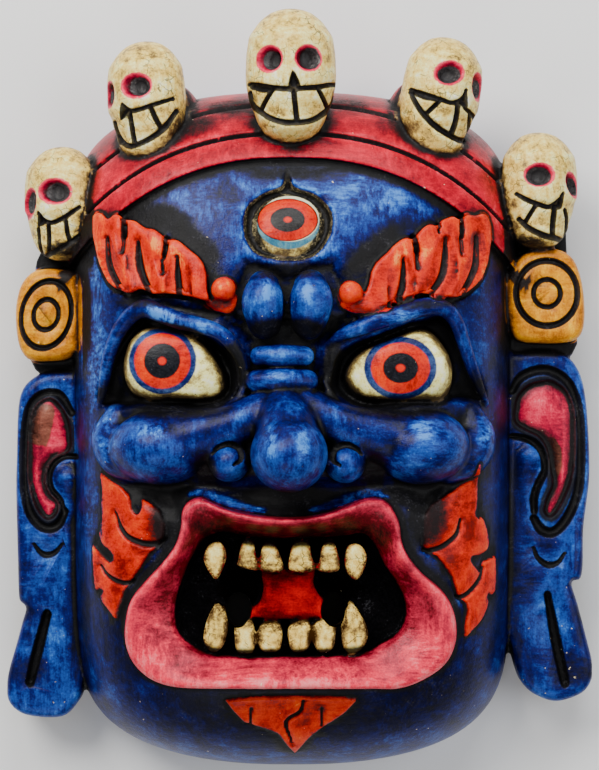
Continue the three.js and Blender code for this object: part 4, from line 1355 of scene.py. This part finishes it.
def colourFields(here):
    x, y, z, front = here.x, here.y, here.z, here.front
    inSkull, nearMouth = here.skull > 0, here.inMouth > -1
    sockets = [(1 - ovalShare(x, y, oval)) * 6 for each in skulls for oval in each["sockets"]]
    pits = [(1 - ovalShare(x, y, oval)) * 5 for each in skulls for oval in each["pits"]]
    return {
        "band": onlyWhere(here.onHead, np.minimum(here.offset, z - 14)),
        "lips": onlyWhere(z > 78, np.minimum(here.inLips + 0.6, 0.6 - here.inMouth)),
        "bone": np.maximum(here.skull, onlyWhere((z > 86) & nearMouth, here.tooth + 0.5)),
        "tongue": onlyWhere((z > 84) & nearMouth, within(x, y, tongue["edge"]) + 0.3),
        "white": onlyWhere(front, deepest(x, y, [eye["white"] for eye in eyes])),
        "bowl": onlyWhere(front, within(x, y, thirdEye["recess"])),
        "throat": onlyWhere(z < 104, here.inMouth),
        "socket": onlyWhere(inSkull, np.max(sockets, 0) + 0.9),
        "pit": onlyWhere(inSkull, np.max(pits, 0)),
        "blaze": onlyWhere(front, here.flame),
        "ochre": np.minimum(z - 17, deepest(x, y, [plug["edge"] for plug in plugs]) + 1.5),
        "pink": onlyWhere((z > 20) & (z < 64), deepest(x, y, [ear["concha"] for ear in ears])),
        "worn": onlyWhere(z > 20, deepest(x, y, [ear["worn"] for ear in ears])),
        # Red gum paint strays onto the edges of the upper teeth.
        "gum": np.where((z > 86) & nearMouth & (y > -108), smoothstep(1.3, 0.4, np.abs(here.tooth)), 0),
    }


# Bare wood inside the hollow and behind.
def bareWood(here, n):
    wall, power = head["wall"], head["fullness"]
    skin = 2
    along = np.clip((here.y - head["y"]) / (head["halfHeight"] - wall["end"] + skin), -1, 1)
    across = (here.x - head["x"]) / ((head["halfWidth"] - wall["side"] + skin) * widthShare(along) + 0.001)
    high = here.z / ((head["depth"] - wall["front"] + skin) * bulge(along, head["profile"]) + 0.001)
    hollow = 1 - (np.abs(across) ** power + np.abs(high) ** power) ** (1 / power)
    behind = -9 + 12 * smoothstep(-0.1, -0.55, n[:, 2])
    return np.maximum(hollow * 40, np.maximum(2.2 - here.z, behind))


# Black in the cuts, dark paint together with painted shade: how far past the edge of the nearest cut each
# point is, below zero in it.
def cutField(here, fields):
    x, y, front = here.x, here.y, here.front
    noses = deepest(x, y, [each["nose"] for each in skulls])
    lines = [line for each in skulls for line in each["lines"]]
    tongues = [groove for patch in [*brows, *flames] for groove in [*patch["grooves"], *patch["notches"]]]
    shells = [ear[key] for ear in ears for key in ("groove", "knobGroove")]
    lobes = [ear[key] for ear in ears for key in ("crescent", "slot")]
    onEar = (here.z > 20) & (np.abs(x) > 110)
    far = 9.0
    found = [
        np.where(here.skull > 0, np.minimum(pastLine(x, y, lines, 1.15), -noses), far),
        np.where(front & (here.flame > -2), pastLine(x, y, tongues, 0.75), far),
        np.where(front, pastLine(x, y, curls, 1.0), far),
        np.where(onEar, pastLine(x, y, shells, 1.6), far),
        np.where(onEar, pastLine(x, y, lobes, 1.15), far),
    ]
    onBand = here.onHead & (here.z > crown["lowest"]) & (here.skull < 0)
    for level, half in crown["grooves"]:
        found.append(np.where(onBand, np.abs(y - crownEdge(x, level)) - half, far))
    for plug in plugs:
        for radii, half in plug["rings"]:
            found.append(np.where(fields["ochre"] > -1, offRing(x, y, plug, radii) - half * 1.4, far))
    return np.clip(np.min(found, 0), -3, 3)


# Soot and painted shade in the recesses and hollows, in the listed places, and round the forms.
def sootAndShadeField(here, fields, recess, fine, broad):
    x, y, z, skull, offset = here.x, here.y, here.z, here.skull, here.offset
    # Painted shade where the carving shuts out the sky, in creases and in wider hollows, together with soot.
    hollows = smoothstep(0.24, 0.74, recess) + 0.9 * smoothstep(-0.02, -0.4, fine)
    hollows = hollows + 0.35 * smoothstep(-0.2, -2.6, broad)
    blueOnly = smoothstep(1, -1, np.max([here.flame, here.inLips, offset, fields["ochre"]], 0)) * (z > 12)
    found = [
        hollows,
        blotches(x, y, sootAndShadePlaces) * blueOnly,
        blotches(x, y, sootAndShadeOnPaint) * (z > 20) * smoothstep(1, -1, here.inLips),
        blotches(x, y, sootAndShadeOnLips) * (z > 45),
    ]
    # The roots of the outer skulls and the gaps above and below the plugs stay black.
    gaps = (np.abs(x) > 108) & (skull < 0) & (fields["ochre"] < 0) & (y < 100)
    found.append(gaps * np.maximum(smoothstep(62, 66, y), smoothstep(-7.5, -4, fields["ochre"])))
    # The black under the band, a painted line together with the painted shadow of the band's raised edge,
    # widens towards the sides.
    reach = 5.5 + 5 * (np.abs(x - head["midline"]) / 110) ** 2
    underBand = here.onHead * (z > 30) * (here.flame < 0.3) * 1.2 * smoothstep(0.2, -0.2, offset)
    found.append(underBand * smoothstep(-reach, -0.5 * reach, offset))
    # Painted shade on the band round the feet of the skulls.
    besideSkull = here.onHead & (offset > 0) & (skull < 0.5)
    found.append(np.where(besideSkull, 0.85 * smoothstep(-8.5, -1, skull), 0))
    # Painted shade in a ring round the foot of each brow knob and nose roll.
    for form in [*knobs, *rolls]:
        share = offLine(x, y, [(a, b, radius) for a, b, _, radius in form])
        found.append(here.front * 0.9 * smoothstep(0.9, 1.04, share) * smoothstep(1.5, 1.2, share))
    dark = np.max(found, 0)
    return np.where((skull > 0) & (fields["socket"] > 0), 0.45 * dark, dark)


# Painted shade darkens the lips inward and on the upper lip; the bones brown with dirt and painted shade at
# their edges; the teeth brown at their roots.
def ageingAndShadeFields(here, n, white):
    inLips, y = here.inLips, here.y
    inward = inLips / (inLips - np.minimum(here.inMouth, 0) + 0.01)
    upper = smoothstep(-118, -90, y)
    darkened = np.clip(inward, 0, 1) * (0.3 + 0.7 * upper) + 0.45 * smoothstep(-86, -72, y)
    # The bone darkens where it turns away from the front and near its edges, dirt together with painted
    # shade.
    boneStainAndShade = smoothstep(0.35, -0.2, n[:, 2]) * 0.5 + 0.5 * smoothstep(3, 0.4, here.skull)
    toothStain = smoothstep(3.2, 0.3, here.tooth) * 0.7 + 0.6 * smoothstep(6, 0, np.abs(y + 108) - 20)
    eyeStain = smoothstep(7.0, 0.3, white)
    return {
        "inward": np.where((inLips > -1) & (here.z > 78), darkened, 0),
        "stainAndShade": np.where(here.skull > 0, boneStainAndShade, np.where(white > -1, eyeStain, toothStain)),
    }


def paintFields(piece):
    p, n = pointsOf(piece), normalsOf(piece)
    here = surveyed(p)
    fields = colourFields(here)
    fields["bare"] = bareWood(here, n)
    fields["cut"] = cutField(here, fields)

    # How shut in each point is, and how far it stands out of its near and its wider surroundings.
    painted = (fields["bare"] < 0) & (n[:, 2] > -0.6)
    recess = softened(piece, shutIn(p, n, painted)[:, None], 1)[:, 0]
    fine = np.sum((p - softened(piece, p, 5)) * n, 1)
    broad = np.sum((p - softened(piece, p, 45)) * n, 1)
    fields["lift"] = np.clip(0.8 * fine / 0.35 + 0.45 * broad / 2.4, -1.2, 1.4)

    # The blue strokes over the lips stay clear of soot and painted shade, and a pale halo of dry-brush and
    # painted highlight rings the third eye.
    stroke = np.where(here.front & (here.inLips < 0), lined(here.x, here.y, lipStrokes, 0.9), 0)
    fields["stroke"] = stroke
    fields["dark"] = np.clip(sootAndShadeField(here, fields, recess, fine, broad) * (1 - 0.9 * stroke), 0, 1.4)
    # Lighter blue: dry-brush and painted highlights, also along the lip strokes.
    dustAndHighlight = np.where(here.z > 34, np.maximum(blotches(here.x, here.y, dustAndHighlightPlaces), 0.6 * stroke), 0)
    halo = np.where(here.front, -fields["bowl"], 99)
    fields["dustAndHighlight"] = np.maximum(dustAndHighlight, 0.6 * smoothstep(0.2, 1.2, halo) * smoothstep(4.2, 1.6, halo))
    return fields | ageingAndShadeFields(here, n, fields["white"])


def keep(piece, fields):
    for name, values in fields.items():
        attribute = piece.data.attributes.new(name, 'FLOAT', 'POINT')
        attribute.data.foreach_set("value", np.asarray(values, dtype=np.float32))


keep(mask, paintFields(mask))
print("paint laid out")


# The painter's nodes. A value given where a socket could be is set on the node itself.
paint = bpy.data.materials.new("painted_wood")
paint.use_nodes = True
tree = paint.node_tree


def node(kind, inputs=None, **settings):
    made = tree.nodes.new("ShaderNode" + kind)
    for key, value in settings.items():
        setattr(made, key, value)
    for slot, value in (inputs or {}).items():
        if isinstance(value, bpy.types.NodeSocket):
            tree.links.new(value, made.inputs[slot])
        else:
            made.inputs[slot].default_value = value
    return made


def calc(operation, first, second):
    return node("Math", {0: first, 1: second}, operation=operation).outputs[0]


def plus(first, second):
    return calc('ADD', first, second)


def less(first, second):
    return calc('SUBTRACT', first, second)


def times(first, second):
    return calc('MULTIPLY', first, second)


def field(name):
    return node("Attribute", attribute_name=name, attribute_type='GEOMETRY').outputs["Fac"]


# From 0 to 1, smoothly, as the value goes from low to high.
def eased(value, low, high):
    return node("MapRange", {0: value, 1: low, 2: high}, interpolation_type='SMOOTHSTEP').outputs[0]


place = node("TexCoord").outputs["Object"]


def stretched(scale, turn=0.0):
    return node("Mapping", {"Vector": place, "Scale": scale, "Rotation": (0, 0, turn)}).outputs[0]


def speckle(size, detail=3.0, rough=0.6, where=None):
    inputs = {"Vector": where or place, "Scale": 1 / (size * mm), "Detail": detail, "Roughness": rough}
    return node("TexNoise", inputs).outputs["Fac"]


def colour(red, green, blue):
    def linear(value):
        value /= 255
        return value / 12.92 if value <= 0.04045 else ((value + 0.055) / 1.055) ** 2.4
    return (linear(red), linear(green), linear(blue), 1)


def ramp(value, *stops):
    made = node("ValToRGB", {0: value})
    elements = made.color_ramp.elements
    elements[1].position = stops[-1][0]
    elements[1].color = colour(*stops[-1][1])
    elements[0].position = stops[0][0]
    elements[0].color = colour(*stops[0][1])
    for at, shade in stops[1:-1]:
        elements.new(at).color = colour(*shade)
    return made.outputs["Color"]


def mixed(share, under, over):
    made = node("Mix", {0: share, 6: under, 7: over}, data_type='RGBA')
    return made.outputs[2]


# Where each colour lies on the ladder of tones, from the deepest, used for painted shade, to the driest
# highlight, both dry-brushed and painted.
ladders = {
    "blue": ((0, (1, 2, 8)), (0.3, (1, 3, 50)), (0.52, (4, 14, 96)), (0.75, (26, 74, 160)),
             (1, (74, 136, 214))),
    "red": ((0, (30, 2, 4)), (0.3, (110, 2, 24)), (0.52, (172, 2, 32)), (0.78, (222, 10, 50)),
            (1, (252, 90, 100))),
    "lips": ((0, (32, 2, 4)), (0.3, (102, 3, 20)), (0.52, (178, 34, 60)), (0.76, (250, 50, 78)),
             (1, (252, 124, 130))),
    "orange": ((0, (53, 2, 0)), (0.3, (134, 4, 0)), (0.52, (210, 28, 0)), (0.78, (240, 66, 0)),
               (1, (252, 140, 60))),
    "bone": ((0, (50, 28, 6)), (0.28, (130, 104, 60)), (0.52, (236, 198, 96)), (0.78, (252, 242, 156)),
             (1, (252, 252, 236))),
    "ochre": ((0, (44, 14, 0)), (0.3, (116, 66, 4)), (0.52, (190, 112, 0)), (0.78, (236, 160, 4)),
              (1, (252, 220, 60))),
    "pink": ((0, (54, 2, 10)), (0.3, (130, 8, 42)), (0.52, (206, 12, 62)), (0.78, (252, 72, 98)),
             (1, (252, 156, 160))),
    "cream": ((0, (88, 70, 42)), (0.3, (178, 154, 86)), (0.52, (252, 246, 152)), (0.78, (252, 252, 222)),
              (1, (252, 252, 250))),
    "tongue": ((0, (46, 0, 2)), (0.3, (98, 0, 4)), (0.52, (152, 1, 12)), (0.78, (204, 3, 20)),
               (1, (252, 44, 66))),
    "bare": ((0, (28, 8, 2)), (0.3, (68, 48, 30)), (0.52, (96, 72, 50)), (0.78, (124, 96, 66)),
             (1, (162, 127, 86))),
}


# What several colours share: brush marks, wobbling edges, flecks, soot, and one tone for all the paint, which
# also holds painted highlight and shade.
def brushwork():
    wobble = calc('SUBTRACT', speckle(2.2, 4, 0.65), 0.5)
    names = ("band", "lips", "bone", "blaze", "ochre", "pink", "white", "tongue", "socket", "pit", "bowl",
             "throat", "worn", "bare")
    along = speckle(2.4, 5, 0.7, stretched((0.22, 1, 1), 0.15))
    down = speckle(2.4, 5, 0.7, stretched((1, 0.22, 1), -0.1))
    streak = mixed(eased(speckle(38, 2, 0.5), 0.44, 0.56), along, down)
    cloud = speckle(11, 4, 0.6)
    fleck = speckle(1.1, 2, 0.5)

    tone = plus(0.42, times(less(streak, 0.5), 0.75))
    tone = plus(tone, times(less(cloud, 0.5), 0.85))
    tone = plus(tone, times(less(fleck, 0.5), 0.35))
    # Raised places are painted lighter and creases darker: worn paint, painted highlight and painted shade.
    tone = plus(tone, times(field("lift"), 0.2))
    # Dry-brushed paint and painted highlights lighten the tone; soot and painted shade darken it.
    dustAndHighlightShare = times(field("dustAndHighlight"), eased(plus(streak, times(cloud, 0.6)), 0.5, 1.0))
    tone = less(plus(tone, times(dustAndHighlightShare, 0.6)), times(field("dark"), 0.38))

    stainAndShade = times(field("stainAndShade"), eased(plus(cloud, times(fleck, 0.5)), 0.5, 0.9))
    mottle = times(less(speckle(4.6, 6, 0.75), 0.5), 1.3)
    return SimpleNamespace(
        wobble=wobble, streak=streak, cloud=cloud, fleck=fleck, tone=tone, stainAndShade=stainAndShade, mottle=mottle,
        edge={name: plus(field(name), times(wobble, 1.5)) for name in names},
        soot=plus(times(speckle(3.4, 6, 0.75), 0.6), times(fleck, 0.4)),
        eyeTone=less(plus(tone, times(mottle, 0.85)), plus(times(stainAndShade, 0.8), 0.04)),
        orange=ramp(less(tone, 0.02), *ladders["orange"]),
    )


# Lays one colour over another inside its edge, the border as soft as given, in millimetres.
def laid(brush, name, under, over, soft=0.25):
    return mixed(eased(brush.edge[name], -soft, soft), under, over)


def paintSkin(brush):
    tone = brush.tone
    # The lips are painted darker inward and on the upper lip, as shade.
    lipTone = less(plus(tone, 0.14), times(field("inward"), 0.4))
    base = ramp(tone, *ladders["blue"])
    base = laid(brush, "band", base, ramp(tone, *ladders["red"]))
    base = laid(brush, "blaze", base, ramp(less(tone, 0.03), *ladders["orange"]))
    base = laid(brush, "lips", base, ramp(lipTone, *ladders["lips"]))
    base = laid(brush, "ochre", base, ramp(less(tone, 0.04), *ladders["ochre"]))
    base = laid(brush, "pink", base, ramp(less(tone, 0.08), *ladders["pink"]))
    worn = times(eased(brush.edge["worn"], -0.6, 0.6), 0.85)
    base = mixed(worn, base, ramp(less(tone, 0.12), *ladders["bare"]))
    # The inside of the mouth is painted near black, dark paint that also stands for the shade deep in it.
    base = mixed(eased(brush.edge["throat"], -0.6, 0.2), base, colour(4, 3, 3))
    return laid(brush, "tongue", base, ramp(less(tone, 0.12), *ladders["tongue"]))


# Share of the way out from an oval's middle to its edge, a little unsteady like a painted ring.
def oval(brush, cx, cy, rx, ry):
    middle = (zero.x + cx * mm, zero.y + cy * mm, 0)
    moved = node("VectorMath", {0: place, 1: middle}, operation='SUBTRACT').outputs[0]
    shares = (1 / (rx * mm), 1 / (ry * mm), 0)
    scaled = node("VectorMath", {0: moved, 1: shares}, operation='MULTIPLY').outputs[0]
    length = node("VectorMath", {0: scaled}, operation='LENGTH').outputs["Value"]
    return plus(length, times(brush.wobble, 0.05))


def disc(share, under, size, soft, over):
    return mixed(eased(share, size + soft, size - soft), under, over)


ringSoft = 0.025


def paintEyes(brush, base):
    eyeball = ramp(brush.eyeTone, *ladders["cream"])
    for eye in eyes:
        share = oval(brush, *eye["iris"], *eye["ring"])
        ringBlue = ramp(brush.tone, (0, (0, 2, 36)), (0.5, (4, 22, 84)), (1, (80, 112, 165)))
        pupil = ramp(brush.soot, (0.35, (6, 6, 10)), (0.6, (26, 27, 34)), (0.8, (100, 104, 114)))
        eyeball = disc(share, eyeball, 1.0, ringSoft, ringBlue)
        eyeball = disc(share, eyeball, eye["orange"], ringSoft, brush.orange)
        eyeball = disc(share, eyeball, eye["pupil"], ringSoft, pupil)
        eyeball = disc(share, eyeball, eye["dot"], ringSoft * 1.6, colour(226, 34, 8))
    return laid(brush, "white", base, eyeball, 0.3)


# The third eye in its sooty bowl: a cream rim, a pale blue crescent and the iris in its black ring.
def paintThirdEye(brush, base):
    x, y = thirdEye["eye"]
    bowl = ramp(brush.soot, (0.36, (10, 8, 6)), (0.5, (56, 50, 38)), (0.62, (160, 146, 106)))
    cream = ramp(brush.eyeTone, *ladders["cream"])
    bowl = disc(oval(brush, x - 0.3, y - 2.0, 13.6, 14.8), bowl, 1.0, 0.05, cream)
    crescent = ramp(brush.tone, (0, (10, 48, 78)), (0.5, (58, 118, 142)), (1, (140, 182, 174)))
    bowl = disc(oval(brush, x + 0.2, y + 1.4, 16.0, 13.2), bowl, 1.0, 0.03, crescent)
    bowl = disc(oval(brush, x + 0.9, y + 4.0, 15.3, 12.1), bowl, 1.0, 0.02, colour(246, 240, 200))
    iris = oval(brush, *thirdEye["iris"], *thirdEye["ring"])
    pupil = ramp(brush.soot, (0.35, (8, 7, 9)), (0.75, (64, 60, 58)))
    bowl = disc(iris, bowl, 1.04, ringSoft, colour(12, 10, 14))
    bowl = disc(iris, bowl, 1.0, ringSoft, brush.orange)
    bowl = disc(iris, bowl, thirdEye["pupil"], ringSoft, pupil)
    bowl = disc(iris, bowl, thirdEye["dot"], 0.05, colour(230, 44, 12))
    return laid(brush, "bowl", base, bowl, 0.2)


# Skulls and teeth: crazed bone, rose sockets and grey pits, with red gum paint on the upper teeth.
def paintBone(brush, base):
    # The bone tone darkens with dirt and painted shade.
    boneTone = less(plus(plus(brush.tone, 0.03), brush.mottle), times(brush.stainAndShade, 0.62))
    bone = ramp(boneTone, *ladders["bone"])
    shift = node("TexNoise", {"Vector": place, "Scale": 1 / (3 * mm), "Detail": 3.0}).outputs["Color"]
    shift = node("VectorMath", {0: shift, "Scale": 2.2 * mm}, operation='SCALE').outputs[0]
    bent = node("VectorMath", {0: place, 1: shift}, operation='ADD').outputs[0]
    cells = node("TexVoronoi", {"Vector": bent, "Scale": 1 / (5.2 * mm)}, feature='DISTANCE_TO_EDGE')
    cracks = times(eased(cells.outputs["Distance"], 0.045, 0.012), eased(speckle(8, 3, 0.6), 0.47, 0.6))
    bone = mixed(times(cracks, 0.75), bone, colour(46, 28, 12))
    pit = ramp(brush.soot, (0.34, (16, 14, 16)), (0.56, (72, 70, 70)), (0.76, (160, 156, 144)))
    bone = laid(brush, "socket", bone, ramp(brush.tone, *ladders["pink"]), 0.3)
    bone = laid(brush, "pit", bone, pit, 0.35)
    base = laid(brush, "bone", base, bone, 0.3)
    gum = times(field("gum"), eased(speckle(1.8, 4, 0.7), 0.49, 0.58))
    return mixed(times(gum, 0.9), base, colour(150, 4, 26))


# Black lines left round each colour, partly dark paint and partly painted shade: how far out they start and
# reach, in millimetres.
outlines = {"lips": (0, 5.2), "blaze": (0, 1.7), "white": (0, 3.6), "pink": (1.5, 3.6)}


# Soot and painted shade lie in the hollows and along the cuts, and break up towards their edges.
def sootAndShadeShare(brush):
    sootAndShade = eased(plus(field("dark"), times(less(brush.soot, 0.5), 1.3)), 0.4, 0.86)
    sootAndShade = calc('MAXIMUM', sootAndShade, eased(plus(field("cut"), times(brush.wobble, 0.5)), 0.3, -0.2))
    for name, (start, reach) in outlines.items():
        inner = eased(brush.edge[name], start + 0.3, start - 0.3)
        sootAndShade = calc('MAXIMUM', sootAndShade, times(inner, eased(brush.edge[name], -reach, -0.5 * reach)))
    return times(sootAndShade, eased(field("stroke"), 0.9, 0.1))


finish = {"specular": 0.18, "roughness": 0.19, "relief": 0.0007, "reliefStrength": 0.5}


def makePaint():
    brush = brushwork()
    fleck, cloud, soot = brush.fleck, brush.cloud, brush.soot
    base = paintBone(brush, paintThirdEye(brush, paintEyes(brush, paintSkin(brush))))
    sootAndShade = sootAndShadeShare(brush)
    darkness = plus(times(fleck, 0.5), times(cloud, 0.5))
    black = ramp(darkness, (0.4, (5, 5, 6)), (0.58, (13, 12, 14)), (0.76, (62, 62, 66)))
    # The soot and painted shade are laid on in black.
    base = mixed(times(sootAndShade, 0.96), base, black)
    base = laid(brush, "bare", base, ramp(brush.tone, *ladders["bare"]), 0.6)
    grit = times(eased(speckle(1.5, 5, 0.8), 0.56, 0.72), 0.32)
    base = mixed(grit, base, colour(10, 8, 8))

    # Chips down to the pale ground, mostly on what stands out.
    chips = eased(plus(speckle(2.6, 2, 0.5), times(field("lift"), 0.035)), 0.785, 0.8)
    base = mixed(times(chips, 0.8), base, ramp(fleck, (0.4, (40, 34, 28)), (0.6, (246, 228, 186))))

    shader = tree.nodes["Principled BSDF"]
    tree.links.new(base, shader.inputs["Base Color"])
    specular = times(eased(brush.edge["throat"], 0.4, -0.4), finish["specular"])
    tree.links.new(specular, shader.inputs["Specular IOR Level"])
    rough = plus(finish["roughness"], times(soot, 0.24))
    rough = plus(rough, times(eased(brush.edge["bare"], -0.6, 0.6), 0.3))
    tree.links.new(plus(rough, times(sootAndShade, 0.22)), shader.inputs["Roughness"])
    relief = plus(times(brush.streak, 0.5), plus(times(soot, 0.7), times(cloud, 0.6)))
    relief = less(relief, times(chips, 0.5))
    strength = finish["reliefStrength"]
    bump = node("Bump", {"Height": relief, "Distance": finish["relief"], "Strength": strength})
    tree.links.new(bump.outputs[0], shader.inputs["Normal"])


makePaint()
print("paint mixed")


# Into the frame, in metres.
setPoints(mask, pointsOf(mask) * mm + np.array(zero))
mask.name = "mask_carving"
mask.data.name = "mask_carving"
mask.data.materials.clear()
mask.data.materials.append(paint)
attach(mask, "root")
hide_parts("mask")
print("mask placed")
